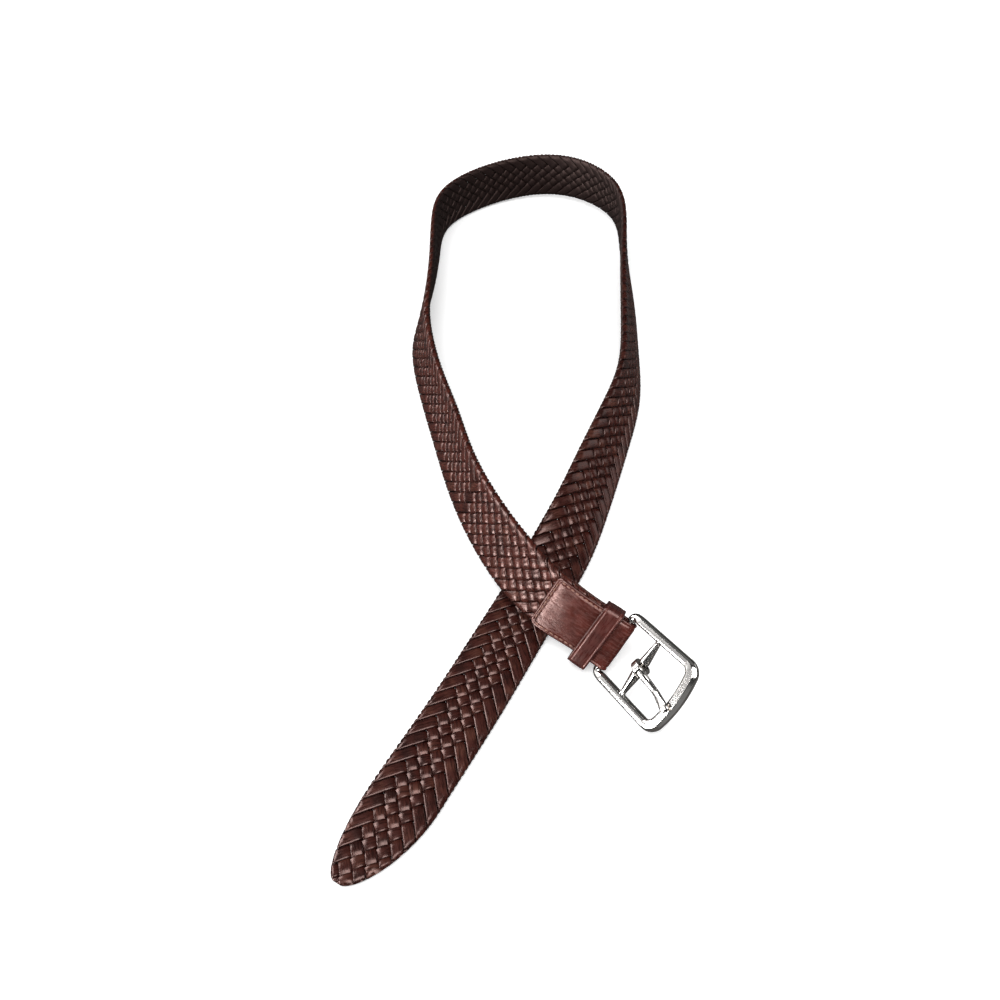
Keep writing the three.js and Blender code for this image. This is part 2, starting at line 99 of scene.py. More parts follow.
def waves(first: Array, second: Array, seed: int, count: int, low: float, high: float) -> Array:
    """Soft noise: a sum of sines with random directions, phases and wave lengths.

    Args:
        first: First coordinate, in millimetres.
        second: Second coordinate, in millimetres.
        seed: Seed of the random draw.
        count: Number of sines.
        low: Shortest wave length, in millimetres.
        high: Longest wave length, in millimetres.

    Returns:
        Noise of about unit size.
    """
    random = np.random.default_rng(seed)
    total = np.zeros(np.broadcast(first, second).shape)
    for _ in range(count):
        angle, phase = random.uniform(0.0, 2.0 * np.pi, 2)
        length = random.uniform(low, high)
        reach = first * np.cos(angle) + second * np.sin(angle)
        total = total + np.sin(2.0 * np.pi * reach / length + phase)
    return total / np.sqrt(count / 2.0)


def curve_through(rows: Array, count: int) -> Array:
    """Smooth curve through rows of numbers: the cubic of each span leans as its neighbours do.

    Args:
        rows: One row for each point that the curve goes through.
        count: Number of rows wanted.

    Returns:
        Rows evenly spread over the spans.
    """
    last = len(rows) - 1
    place_at = np.linspace(0.0, last, count)
    span = np.minimum(place_at.astype(int), last - 1)
    t = (place_at - span)[:, None]
    padded = np.concatenate([rows[:1], rows, rows[-1:]])
    p0, p1, p2, p3 = (padded[span + k] for k in range(4))
    lean_in, lean_out = (p2 - p0) / 2.0, (p3 - p1) / 2.0
    cubic = (2 * p1 - 2 * p2 + lean_in + lean_out) * t**3
    square = (-3 * p1 + 3 * p2 - 2 * lean_in - lean_out) * t**2
    return cubic + square + lean_in * t + p1


def grid_faces(rows: int, columns: int, rows_close: bool, columns_close: bool) -> Faces:
    """Four-sided faces of a grid of points numbered row by row.

    Args:
        rows: Number of rows of points.
        columns: Number of points in a row.
        rows_close: True where the last row joins the first.
        columns_close: True where each row joins its own start.

    Returns:
        One line of four point numbers for each face.
    """
    row = np.arange(rows if rows_close else rows - 1)[:, None]
    column = np.arange(columns if columns_close else columns - 1)[None, :]
    row, column = np.broadcast_arrays(row, column)
    next_row, next_column = (row + 1) % rows, (column + 1) % columns
    corners = (
        row * columns + column,
        row * columns + next_column,
        next_row * columns + next_column,
        next_row * columns + column,
    )
    return np.stack(corners, -1).reshape(-1, 4)


@dataclass
class Surface:
    """Points, faces and point attributes of a piece, gathered before its mesh is made."""

    points: list[Array] = field(default_factory=list)
    quads: list[Faces] = field(default_factory=list)
    caps: list[Faces] = field(default_factory=list)
    values: dict[str, list[Array]] = field(default_factory=dict)
    count: int = 0

    def add_grid(
        self,
        points: Array,
        rows_close: bool = False,
        columns_close: bool = True,
        capped: bool = False,
        **values: Array | float,
    ) -> None:
        """Adds a grid of points of shape (rows, columns, 3), in millimetres, faces outwards.

        Args:
            points: The grid.
            rows_close: True where the last row joins the first.
            columns_close: True where each row joins its own start.
            capped: True where the first and last rows are closed with a face each.
            **values: One number for each point, or one for all, by attribute name.
        """
        rows, columns = points.shape[:2]
        flat = points.reshape(-1, 3)
        faces = grid_faces(rows, columns, rows_close, columns_close)
        corner = flat[faces] - flat.mean(0)
        a, b, c, d = (corner[:, k] for k in range(4))
        first = np.arange(columns)[::-1]
        last = np.arange(columns) + (rows - 1) * columns
        if (np.cross(a, b) * c).sum() + (np.cross(a, c) * d).sum() < 0:
            faces, first, last = faces[:, ::-1], first[::-1], last[::-1]
        self.points.append(flat)
        self.quads.append(faces + self.count)
        if capped:
            self.caps += [first + self.count, last + self.count]
        for name, value in values.items():
            whole = np.broadcast_to(np.asarray(value, dtype=float), (rows, columns))
            self.values.setdefault(name, []).append(whole.reshape(-1))
        self.count += rows * columns

    def build(self, name: str, material: bpy.types.Material) -> bpy.types.Object:
        """Makes the mesh object at the origin, unturned and unscaled.

        Args:
            name: Name of the piece.
            material: Its finish.

        Returns:
            The object.
        """
        points = np.concatenate(self.points) * MM
        quads = np.concatenate(self.quads)
        loops = np.concatenate([quads.reshape(-1), *self.caps]).astype(np.int32)
        sizes = np.array([4] * len(quads) + [len(cap) for cap in self.caps], dtype=np.int32)
        starts = np.concatenate([[0], np.cumsum(sizes)[:-1]]).astype(np.int32)
        mesh = bpy.data.meshes.new(name)
        mesh.vertices.add(len(points))
        mesh.vertices.foreach_set("co", points.astype(np.float32).reshape(-1))
        mesh.loops.add(len(loops))
        mesh.loops.foreach_set("vertex_index", loops)
        mesh.polygons.add(len(sizes))
        mesh.polygons.foreach_set("loop_start", starts)
        mesh.polygons.foreach_set("loop_total", sizes)
        mesh.update(calc_edges=True)
        mesh.validate()
        mesh.polygons.foreach_set("use_smooth", np.ones(len(mesh.polygons), dtype=bool))
        for key, parts in self.values.items():
            layer = mesh.attributes.new(key, "FLOAT", "POINT")
            layer.data.foreach_set("value", np.concatenate(parts).astype(np.float32))
        mesh.materials.append(material)
        piece = bpy.data.objects.new(name, mesh)
        bpy.context.scene.collection.objects.link(piece)
        return piece


def place(piece: bpy.types.Object, body: Body, slot: Slot, *nodes: str) -> None:
    """Puts a piece on its body and says which solids it stands for.

    Args:
        piece: The piece.
        body: The body that it rides on.
        slot: Not used.
        *nodes: Names of the solids that it replaces.
    """
    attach(piece, body.value)
    if nodes:
        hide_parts(*nodes)
    log.info("%s: %d points, on the %s", piece.name, len(piece.data.vertices), body.value)


# ---- Finishes ----


@dataclass
class Shader:
    """An empty node material, with short ways to wire it."""

    name: str

    def __post_init__(self) -> None:
        """Makes the material with its surface shader and its output."""
        self.material = bpy.data.materials.new(self.name)
        self.material.use_nodes = True
        self.material.node_tree.nodes.clear()
        self.surface = self.add("ShaderNodeBsdfPrincipled")
        self.wire(self.surface.outputs[0], self.add("ShaderNodeOutputMaterial").inputs[0])
        self.object_point: Socket = self.add("ShaderNodeTexCoord").outputs["Object"]

    def add(self, kind: str, **settings: object) -> bpy.types.Node:
        """Adds a node and sets its properties.

        Args:
            kind: Blender's name for the kind of node.
            **settings: Values by the property's name.

        Returns:
            The node.
        """
        node = self.material.node_tree.nodes.new(kind)
        for key, value in settings.items():
            setattr(node, key, value)
        return node

    def wire(self, source: Socket, target: Socket) -> None:
        """Links two sockets."""
        self.material.node_tree.links.new(source, target)

    def put(self, value: Socket | float | Colour, target: Socket) -> None:
        """Links a socket, or sets a number or a colour on it.

        Args:
            value: The socket, number or colour.
            target: The input that gets it.
        """
        if isinstance(value, bpy.types.NodeSocket):
            self.wire(value, target)
        elif isinstance(value, tuple):
            target.default_value = (*value, 1.0)
        else:
            target.default_value = value

    def attribute(self, name: str) -> Socket:
        """The number that the mesh holds under a name."""
        return self.add("ShaderNodeAttribute", attribute_name=name).outputs["Fac"]

    def point(self, x: Socket | float, y: Socket | float, z: Socket | float = 0.0) -> Socket:
        """A point made of three numbers.

        Args:
            x: First coordinate.
            y: Second coordinate.
            z: Third coordinate.

        Returns:
            The point.
        """
        node = self.add("ShaderNodeCombineXYZ")
        for value, socket in zip((x, y, z), node.inputs):
            self.put(value, socket)
        return node.outputs[0]

    def noise(
        self, point: Socket, scale: float, detail: float = 3.0, rough: float = 0.5
    ) -> Socket:
        """Noise between 0 and 1.

        Args:
            point: Where it is read.
            scale: Lumps to a unit of length.
            detail: Number of finer layers.
            rough: Strength of the finer layers.

        Returns:
            The noise.
        """
        node = self.add("ShaderNodeTexNoise")
        for key, value in (("Scale", scale), ("Detail", detail), ("Roughness", rough)):
            node.inputs[key].default_value = value
        self.wire(point, node.inputs["Vector"])
        return node.outputs["Fac"]

    def cells(self, point: Socket, scale: float) -> Socket:
        """Irregular cells, as leather's pores are laid out.

        Args:
            point: Where they are read.
            scale: Cells to a unit of length.

        Returns:
            The distance to the nearest border of a cell.
        """
        node = self.add("ShaderNodeTexVoronoi", feature="DISTANCE_TO_EDGE")
        node.inputs["Scale"].default_value = scale
        self.wire(point, node.inputs["Vector"])
        return node.outputs["Distance"]

    def math(self, operation: str, *values: Socket | float) -> Socket:
        """One step of arithmetic.

        Args:
            operation: Blender's name for it.
            *values: Its inputs.

        Returns:
            The result.
        """
        node = self.add("ShaderNodeMath", operation=operation)
        for value, socket in zip(values, node.inputs):
            self.put(value, socket)
        return node.outputs[0]

    def spread(
        self, value: Socket, low: float, high: float, start: float = 0.0, end: float = 1.0
    ) -> Socket:
        """Maps a number from one range to another, and keeps it inside.

        Args:
            value: The number.
            low: Result at the start.
            high: Result at the end.
            start: Start of the range.
            end: End of the range.

        Returns:
            The mapped number.
        """
        node = self.add("ShaderNodeMapRange")
        pairs = (("From Min", start), ("From Max", end), ("To Min", low), ("To Max", high))
        for key, number in pairs:
            node.inputs[key].default_value = number
        self.wire(value, node.inputs["Value"])
        return node.outputs["Result"]

    def mix(
        self, factor: Socket | float, first: Socket | Colour, second: Socket | Colour
    ) -> Socket:
        """Mixes two colours.

        Args:
            factor: Share of the second.
            first: Colour at 0.
            second: Colour at 1.

        Returns:
            The mixed colour.
        """
        node = self.add("ShaderNodeMix", data_type="RGBA")
        for value, index in ((factor, 0), (first, 6), (second, 7)):
            self.put(value, node.inputs[index])
        return node.outputs[2]

    def bump(self, height: Socket, distance: float, strength: float) -> None:
        """Bends the surface's normal by a height.

        Args:
            height: The height, between 0 and 1.
            distance: What 1 stands for, in metres.
            strength: Share of the bend that is used.
        """
        node = self.add("ShaderNodeBump")
        node.inputs["Distance"].default_value = distance
        node.inputs["Strength"].default_value = strength
        self.wire(height, node.inputs["Height"])
        self.wire(node.outputs["Normal"], self.surface.inputs["Normal"])

    def finish(self, **inputs: Socket | float | Colour) -> bpy.types.Material:
        """Sets the surface's inputs.

        Args:
            **inputs: Values by the input's name, with _ for a space.

        Returns:
            The material.
        """
        for key, value in inputs.items():
            title = key.replace("_", " ").title().replace("Ior", "IOR")
            self.put(value, self.surface.inputs[title])
        return self.material


@dataclass(frozen=True)
class LaceLeather:
    """Glossy dark laces, with painted light near the buckle and painted shade on the inner
    face.

    A scale counts lumps to a unit of length, and a depth or warmth is the largest share that a
    colour gets. Lines are drawn out along the lace, and patch_spacing sets its cells apart.
    """

    # Dark tone of the patches and lines, and painted shade in the gaps between laces.
    gap: Colour = (0.006, 0.0008, 0.0006)
    brown: Colour = (0.041, 0.0076, 0.0050)
    # Painted light towards the buckle, where the strap faces the light, plus real blotchy tone.
    red_tone_and_painted_light: Colour = (0.084, 0.0152, 0.0090)
    # Painted shade: near black on the under layer and the inner face.
    inner: Colour = (0.0066, 0.0012, 0.0011)
    warm: Colour = (0.088, 0.028, 0.0165)
    gleam: Colour = (1.0, 0.70, 0.64)
    line_stretch: float = 0.16
    line_scale: float = 1.15
    line_depth: float = 0.70
    patch_spacing: float = 40.0
    patch_scale: float = 0.13
    patch_warmth: float = 0.55
    patch_depth: float = 0.60
    blotch_scale: float = 120.0
    # Painted shade that darkens the lace's edges, in the gaps between laces.
    gap_shade_power: float = 5.0
    gap_shade_depth: float = 0.85
    gloss: tuple[float, float] = (0.20, 0.36)
    inner_dullness: float = 0.3
    grain_scale: float = 1500.0
    relief: float = 0.00022

    def make(self) -> bpy.types.Material:
        """Builds the material.

        Returns:
            The material. Its colour brightens from brown along the strap, painted light towards
            the buckle; it varies from cell to cell and in lines along each lace; painted shade
            darkens it at the lace's edges and on the under layer.
        """
        shader = Shader("lace_leather")
        along, tone, edge = (shader.attribute(key) for key in ("along", "tone", "edge"))
        run, side = shader.attribute("run"), shader.attribute("side")
        cell_place = shader.math("MULTIPLY", tone, self.patch_spacing)
        drawn_out = shader.math("MULTIPLY", run, self.line_stretch)
        lines = shader.point(drawn_out, side, cell_place)
        streak = shader.noise(lines, self.line_scale, 4.0, 0.62)
        patch = shader.noise(shader.point(run, cell_place), self.patch_scale, 1.0)
        blotch = shader.noise(shader.object_point, self.blotch_scale)
        # Painted light: brighter along the strap towards the buckle, where it faces the light;
        # blotch and tone add real variation.
        tone_and_painted_light = shader.math("ADD", along, shader.spread(blotch, -0.16, 0.16))
        tone_and_painted_light = shader.math("MULTIPLY_ADD", tone, 0.10, tone_and_painted_light)
        base = shader.mix(shader.spread(tone_and_painted_light, 0.0, 1.0, 0.35, 1.05), self.brown, self.red_tone_and_painted_light)
        warm_share = shader.spread(patch, 0.0, self.patch_warmth, 0.52, 0.70)
        base = shader.mix(warm_share, base, self.warm)
        dark_share = shader.spread(patch, self.patch_depth, 0.0, 0.32, 0.48)
        base = shader.mix(dark_share, base, self.gap)
        line_share = shader.spread(streak, self.line_depth, 0.0, 0.36, 0.56)
        base = shader.mix(line_share, base, self.gap)
        # Painted shade: darker towards the lace's edges, in the gaps between laces.
        gap_shade_share = shader.math("POWER", edge, self.gap_shade_power)
        gap_shade_share = shader.math("MULTIPLY", gap_shade_share, self.gap_shade_depth)
        base = shader.mix(gap_shade_share, base, self.gap)
        # Painted shade: near black where the lace lies low, on the under layer and inner face.
        under = shader.spread(shader.attribute("level"), 1.0, 0.0, -0.75, 0.1)
        base = shader.mix(under, base, self.inner)
        gloss = shader.spread(streak, *self.gloss, 0.3, 0.7)
        grain = shader.cells(shader.object_point, self.grain_scale)
        height = shader.math("MULTIPLY_ADD", streak, 0.8, shader.math("MULTIPLY", grain, 0.35))
        shader.bump(height, self.relief, 0.5)
        return shader.finish(
            base_color=base,
            roughness=shader.math("MULTIPLY_ADD", under, self.inner_dullness, gloss),
            specular_ior_level=0.6,
            specular_tint=self.gleam,
        )


@dataclass(frozen=True)
class SmoothLeather:
    """Glazed reddish leather with creases along the strap and darker, burnished edges.

    Shine is the roughness of its glossiest places, and gloss_loss what the dullest add.
    """

    name: str
    base: Colour
    dark: Colour
    pale: Colour
    shine: float
    creases: float
    gleam: Colour = (1.0, 0.70, 0.64)
    crease_stretch: float = 0.22
    crease_scale: float = 0.75
    blotch_scale: float = 160.0
    pore_scale: float = 1300.0
    pore_depth: float = 0.12
    gloss_loss: float = 0.2
    relief: float = 0.00026

    def make(self) -> bpy.types.Material:
        """Builds the material.

        Returns:
            The material. Creases follow the mesh's attribute run and a rubbed pale finish its
            attribute line. The attribute edge darkens burnished edges, and paints shade on
            inner faces and walls.
        """
        shader = Shader(self.name)
        run, side = shader.attribute("run"), shader.attribute("side")
        stretched = shader.point(shader.math("MULTIPLY", run, self.crease_stretch), side)
        crease = shader.noise(stretched, self.crease_scale, 5.0, 0.62)
        blotch = shader.noise(shader.object_point, self.blotch_scale, 4.0, 0.6)
        cells = shader.cells(shader.object_point, self.pore_scale)
        base = shader.mix(shader.spread(blotch, 0.0, 1.0, 0.3, 0.72), self.dark, self.base)
        base = shader.mix(shader.spread(crease, 0.0, 0.55, 0.5, 0.75), base, self.pale)
        base = shader.mix(shader.attribute("line"), base, self.pale)
        # Darker by the attribute edge: real on burnished edges, painted shade on inner faces
        # and walls.
        base = shader.mix(shader.attribute("edge"), base, self.dark)
        height = shader.math("MULTIPLY", crease, self.creases)
        pores = shader.math("MINIMUM", cells, self.pore_depth)
        height = shader.math("MULTIPLY_ADD", pores, 1.2, height)
        height = shader.math("MULTIPLY_ADD", blotch, 0.25, height)
        shader.bump(height, self.relief, 0.5)
        dullest = self.shine + self.gloss_loss
        return shader.finish(
            base_color=base,
            roughness=shader.spread(crease, self.shine, dullest, 0.35, 0.7),
            specular_ior_level=0.6,
            specular_tint=self.gleam,
        )


@dataclass(frozen=True)
class Thread:
    """Waxed sewing thread, twisted from fine yarns."""

    base: Colour = (0.42, 0.20, 0.14)
    # Painted shade in the grooves between the plies.
    dark: Colour = (0.16, 0.055, 0.036)
    twist: float = 0.08
    ply_length: float = 0.16
    relief: float = 0.00012

    def make(self) -> bpy.types.Material:
        """Builds the material.

        Returns:
            The material. Its ply lines slant along each stitch, with painted shade in the
            grooves.
        """
        shader = Shader("thread")
        turn = shader.math("MULTIPLY", shader.attribute("side"), self.twist)
        place_along = shader.math("ADD", turn, shader.attribute("run"))
        ply = shader.math("PINGPONG", place_along, self.ply_length)
        ply = shader.math("MULTIPLY", ply, 6.0)
        shader.bump(ply, self.relief, 0.7)
        # Painted shade: the colour darkens into the ply grooves, where the bump dips.
        return shader.finish(
            base_color=shader.mix(ply, self.dark, self.base),
            roughness=0.5,
            sheen_weight=0.15,
        )


@dataclass(frozen=True)
class PolishedNickel:
    """Bright metal with faint handling marks."""

    base: Colour = (0.80, 0.775, 0.75)
    dull: Colour = (0.62, 0.60, 0.58)
    mark_scale: float = 900.0
    cloud_scale: float = 110.0
    cloud_depth: float = 0.6
    gloss: tuple[float, float] = (0.12, 0.15)

    def make(self) -> bpy.types.Material:
        """Builds the material.

        Returns:
            The material. Fine noise varies its gloss and coarser noise its tone.
        """
        shader = Shader("nickel")
        marks = shader.noise(shader.object_point, self.mark_scale, 4.0, 0.6)
        cloud = shader.noise(shader.object_point, self.cloud_scale)
        cloud_share = shader.spread(cloud, 0.0, self.cloud_depth, 0.4, 0.8)
        return shader.finish(
            base_color=shader.mix(cloud_share, self.base, self.dull),
            roughness=shader.spread(marks, *self.gloss, 0.3, 0.75),
            metallic=1.0,
        )


# ---- The lay of the strap ----


@dataclass(frozen=True)
class Lay:
    """How the strap lies: a centre line with three directions at each distance from the tip.

    The line is a uniform cubic B-spline over rows of (across, away, lean, lift), where across
    and away are shares of the lay's size, lean is in degrees and lift is a share of the strap's
    thickness. Across points to the inner, upper edge and outward leaves the outer face.
    """

    width: float = 150.0
    depth: float = 560.0
    strap_width: float = 35.0
    strap_thickness: float = 4.5
    samples: int = 6400
    rows: tuple[tuple[float, float, float, float], ...] = (
        (-0.540, -0.448, 0, 0), (-0.440, -0.398, 0, 0), (-0.275, -0.318, 0, 0),
        (-0.115, -0.246, 0, 0), (0.030, -0.172, 0, 0), (0.170, -0.102, 0, 0),
        (0.280, -0.050, 34, 0), (0.370, 0.014, 43, 0), (0.475, 0.088, 57, 0),
        (0.560, 0.150, 66, 0.2), (0.580, 0.232, 69, 0.1), (0.600, 0.310, 71, 0),
        (0.610, 0.382, 77, 0.2), (0.620, 0.450, 90, 0.4), (0.630, 0.528, 82, 0.9),
        (0.430, 0.592, 90, 0.8), (0.185, 0.606, 90, 0.4), (-0.100, 0.576, 94, 0),
        (-0.315, 0.518, 89, 0), (-0.325, 0.448, 94, 0), (-0.325, 0.368, 86, 0),
        (-0.345, 0.294, 77, 0.2), (-0.365, 0.234, 69, 0.5), (-0.295, 0.146, 72, 0.2),
        (-0.215, 0.076, 65, 0.4), (-0.155, 0.004, 67, 1), (-0.045, -0.074, 60, 2),
        (0.130, -0.158, 56, 2.7), (0.400, -0.196, 55, 0.2), (0.560, -0.225, 16, -1),
    )

    @cached_property
    def table(self) -> dict[str, Array]:
        """The centre line and its directions at every sample, before the shift to the frame.

        Returns:
            Columns by name: distance is the sum of the steps so far, along the line's
            direction, across the level direction at right angles to it tipped up by the lean,
            and outward at right angles to both.
        """
        rows = np.array(self.rows, dtype=float)
        spans = len(rows) - 3
        place_at = np.linspace(0.0, 1.0, self.samples + 1) * spans
        span = np.minimum(place_at.astype(int), spans - 1)
        share = place_at - span
        rest = 1.0 - share
        weights = (
            rest**3 / 6,
            (3 * share**3 - 6 * share**2 + 4) / 6,
            (-3 * share**3 + 3 * share**2 + 3 * share + 1) / 6,
            share**3 / 6,
        )
        mixed = sum(weight[:, None] * rows[span + k] for k, weight in enumerate(weights))
        lean = np.radians(mixed[:, 2])
        rest_height = (self.strap_width - self.strap_thickness) / 2 * np.abs(np.sin(lean))
        height = self.strap_thickness * (0.5 + mixed[:, 3]) + rest_height
        position = np.stack([mixed[:, 0] * self.width, mixed[:, 1] * self.depth, height], -1)
        steps = np.linalg.norm(np.diff(position, axis=0), axis=1)
        along = unit(np.gradient(position, axis=0))
        level = unit(np.cross(UP, along))
        across = np.cos(lean)[:, None] * level + np.sin(lean)[:, None] * np.cross(along, level)
        return {
            "distance": np.concatenate([[0.0], np.cumsum(steps)]),
            "position": position,
            "along": along,
            "across": across,
            "outward": np.cross(along, across),
        }

    @cached_property
    def length(self) -> float:
        """Length of the centre line, from the tip to the buckle's rear bar."""
        return float(self.table["distance"][-1])

    @cached_property
    def shift(self) -> Array:
        """From the lay's own origin to the frame's, found from the buckle's hinge.

        Returns:
            The vector to add, in millimetres.
        """
        hinge = next(joint for joint in frame["joints"] if joint["name"] == "buckle_turn")
        end = self.read("position", self.length)
        slide = Buckle.slide * self.read("across", self.length)
        return np.array(hinge["pos_m"]) / MM - end - slide

    def read(self, key: str, distance: Array | float) -> Array:
        """One column of the table at distances from the tip."""
        places = self.table["distance"]
        return np.stack([np.interp(distance, places, c) for c in self.table[key].T], -1)

    def point(self, distance: Array, across: Array, height: Array) -> Array:
        """Points of the belt: centre line + across * width direction + height * outward.

        Args:
            distance: Distance from the tip; past either end the line runs on straight.
            across: Place across the strap.
            height: Height over the middle of the thickness.

        Returns:
            Points in the frame, in millimetres.
        """
        distance, across, height = np.broadcast_arrays(distance, across, height)
        inside = np.clip(distance, 0.0, self.length)
        beyond = (distance - inside)[..., None] * self.read("along", inside)
        sideways = across[..., None] * self.read("across", inside)
        outwards = height[..., None] * self.read("outward", inside)
        return self.read("position", inside) + self.shift + beyond + sideways + outwards


# ---- The woven strap ----


@dataclass(frozen=True)
class WovenStrap:
    """Flat braid of nine laces, each running over and under the others and round the edges.

    A lace keeps one angle to the strap on an unrolled flat tube. Its place there, y, wraps as
    follows: half a turn of radius level round one edge, a straight run over the width, half a
    turn round the other edge, and so on. In a run the lace swaps between the two layers, at
    the heights +level and -level, as the pattern says for its eight crossings.

    Lengths are in millimetres. A lace starts lead half widths before the tip, swaps layers
    over swap_share of a crossing, and is cut tip_margin outside the outline, where it is drawn
    in to a rim. A ring_power under 1 fills out the corners of its oval section.
    """

    lay: Lay
    laces: int = 9
    pitch: float = 8.9
    edge_place: float = 15.3
    level: float = 1.15
    lace_half_width: float = 2.82
    lace_half_thickness: float = 1.05
    step: float = 0.6
    tip_length: float = 48.0
    tip_blunt_width: float = 4.0
    tip_skew: float = 4.9
    tip_stretch: float = 1.056
    tip_thickness: float = 3.4
    tip_fullness: float = 0.62
    tip_rounding: float = 2.3
    end_width: float = 29.0
    end_thickness: float = 3.1
    narrowing: float = 70.0
    end_setback: float = 3.0
    plain_length: float = 120.0
    braid: tuple[int, ...] = (1, 1, -1, 1, -1, 1, -1, -1)
    plain: tuple[int, ...] = (1, -1, 1, -1, 1, -1, 1, -1)
    swap_share: tuple[float, float] = (0.12, 0.88)
    rim: float = 0.15
    tip_margin: float = 1.2
    lead: float = 4.0
    ring_points: int = 12
    ring_power: float = 0.5
    tone_seed: int = 31
    tone_count: int = 80

    @property
    def run_width(self) -> float:
        """Unrolled width of one run with its half turn."""
        return 2.0 * self.edge_place + np.pi * self.level

    @property
    def angle(self) -> float:
        """Angle between a lace and the strap, in radians."""
        return float(np.arctan(self.run_width / (self.laces * self.pitch / 2.0)))

    def half_width(self, distance: Array) -> Array:
        """Half the strap's width, with its blunt round tip and the narrower buckle end.

        Args:
            distance: Distance from the tip.

        Returns:
            In the tip, blunt + (full - blunt) * (1 - (1 - share)^2)^fullness; past it full,
            less what the buckle end loses.
        """
        share = np.clip(distance / self.tip_length, 0.0, 1.0)
        blunt, full = self.tip_blunt_width / 2.0, self.lay.strap_width / 2.0
        width = blunt + (full - blunt) * (1.0 - (1.0 - share) ** 2) ** self.tip_fullness
        return width - (full - self.end_width / 2.0) * self.narrow_share(distance)

    def narrow_share(self, distance: Array) -> Array:
        """0 along the strap, easing to 1 where it ends in the chape."""
        end = self.lay.length - self.end_setback
        return smooth_step(end - self.narrowing, end, distance)

    def layer(self, centre: Array, run: Array, lace: int) -> Array:
        """Which layer a lace is in, from -1 to 1, easing between its crossings.

        Args:
            centre: Unrolled place of the lace's middle, y.
            run: Number of the run that each point lies in.
            lace: Number of the lace.

        Returns:
            The layer at each point.
        """
        runs = self.run_width
        share = np.clip((centre - run * runs) / runs, 0.0, 1.0) * self.laces
        crossing = np.floor(share)
        states = []
        for step in (0, 1):
            index = np.clip(crossing + step, 1, self.laces - 1)
            where = lace * self.pitch + (run + index / self.laces) * runs / np.tan(self.angle)
            number = index.astype(int) - 1
            near_end = where > self.lay.length - self.plain_length
            braid, plain = np.take(self.braid, number), np.take(self.plain, number)
            states.append(np.where(near_end, plain, braid))
        ease = smooth_step(*self.swap_share, share - crossing)
        return states[0] + (states[1] - states[0]) * ease

    def middle(self, along: Array, across: Array, lace: int) -> Array:
        """A lace's middle surface wrapped round the flat tube.

        Args:
            along: Distance from the tip of the lace's middle.
            across: Place across the lace.
            lace: Number of the lace.

        Returns:
            Distance from the tip, place across the strap and height, stacked.
        """
        centre = (along - lace * self.pitch) * np.tan(self.angle)
        distance = along - across * np.sin(self.angle)
        y = centre + across * np.cos(self.angle)
        run = np.floor(y / self.run_width)
        side = np.where(run % 2 == 0, 1.0, -1.0)
        inside = y - run * self.run_width
        quarter = np.pi * self.level / 2.0
        first = np.clip(inside, 0.0, quarter) / self.level
        last = np.clip(self.run_width - inside, 0.0, quarter) / self.level
        near, far = inside < quarter, inside > self.run_width - quarter
        sideways = np.select(
            [near, far],
            [
                self.edge_place + self.level * np.cos(first),
                -self.edge_place - self.level * np.cos(last),
            ],
            self.edge_place + quarter - inside,
        )
        height = np.select(
            [near, far],
            [self.level * np.sin(first), -self.level * np.sin(last)],
            self.level * self.layer(centre, run, lace),
        )
        return np.stack([distance, side * sideways, height], -1)

    def outline(self) -> tuple[Array, Array]:
        """The tip's outline, seen from the tip's root.

        Returns:
            Angles to the strap's direction, and the outline's distance at each.
        """
        distance = self.tip_length * np.linspace(0.0, 1.0, 400) ** 1.6
        skew = self.tip_skew * (1.0 - distance / self.tip_length) ** 2
        half = self.half_width(distance)
        across = np.concatenate([(skew - half)[::-1], skew + half])
        ahead = self.tip_length - np.concatenate([distance[::-1], distance])
        ahead = ahead * self.tip_stretch
        angle = np.arctan2(across, ahead)
        order = np.argsort(angle)
        return angle[order], np.hypot(across, ahead)[order]

    def shaped(self, place_at: Array) -> Array:
        """Fits the braid to the strap's outline.

        In the tip a point beyond the outline is drawn in to it, and the height shrinks as on
        a round edge. Near the chape the braid is drawn narrower and flatter.

        Args:
            place_at: Distance, place across and height, stacked.

        Returns:
            Points in the frame.
        """
        distance, across, height = (place_at[..., k] for k in range(3))
        angles, reaches = self.outline()
        ahead = np.maximum(self.tip_length - distance, 0.0)
        in_tip = ahead > 0.0
        radius = np.hypot(ahead, across)
        reach = np.interp(np.arctan2(across, ahead), angles, reaches)
        drawn = np.minimum(radius, reach)
        kept = np.where(in_tip, drawn / np.maximum(radius, 1e-9), 1.0)
        near = np.clip((drawn - reach) / self.tip_rounding + 1.0, 0.0, 1.0)
        full = self.lay.strap_thickness / 2.0
        limit = self.rim + (full - self.rim) * np.sqrt(1.0 - near**2)
        height = np.where(in_tip, np.clip(height, -limit, limit), height)
        distance = np.where(in_tip, self.tip_length - ahead * kept, distance)
        narrow = self.narrow_share(distance)
        loss = 1.0 - self.end_width / self.lay.strap_width
        across = across * kept * (1.0 - loss * narrow)
        share = smooth_step(0.0, 1.0, distance / self.tip_length)
        thickness = self.tip_thickness + (self.lay.strap_thickness - self.tip_thickness) * share
        drop = (thickness - self.lay.strap_thickness) / 2.0
        thickness = thickness + (self.end_thickness - self.lay.strap_thickness) * narrow
        height = drop + height * thickness / self.lay.strap_thickness
        return self.lay.point(distance, across, height)

    def kept_rows(self, middle: Array) -> list[tuple[int, int]]:
        """Stretches of a lace that lie inside the strap's outline.

        Args:
            middle: The lace's middle line, as middle() gives it.

        Returns:
            The first row of each stretch and the row after its last.
        """
        angles, reaches = self.outline()
        ahead = self.tip_length - middle[:, 0]
        reach = np.interp(np.arctan2(middle[:, 1], ahead), angles, reaches)
        radius = np.hypot(ahead, middle[:, 1])
        inside = (radius < reach + self.tip_margin) | (ahead <= 0.0)
        kept = inside & (middle[:, 0] < self.lay.length - self.end_setback)
        borders = np.flatnonzero(np.diff(np.concatenate([[0], kept.astype(int), [0]])))
        return [(start, end) for start, end in borders.reshape(-1, 2) if end - start > 4]

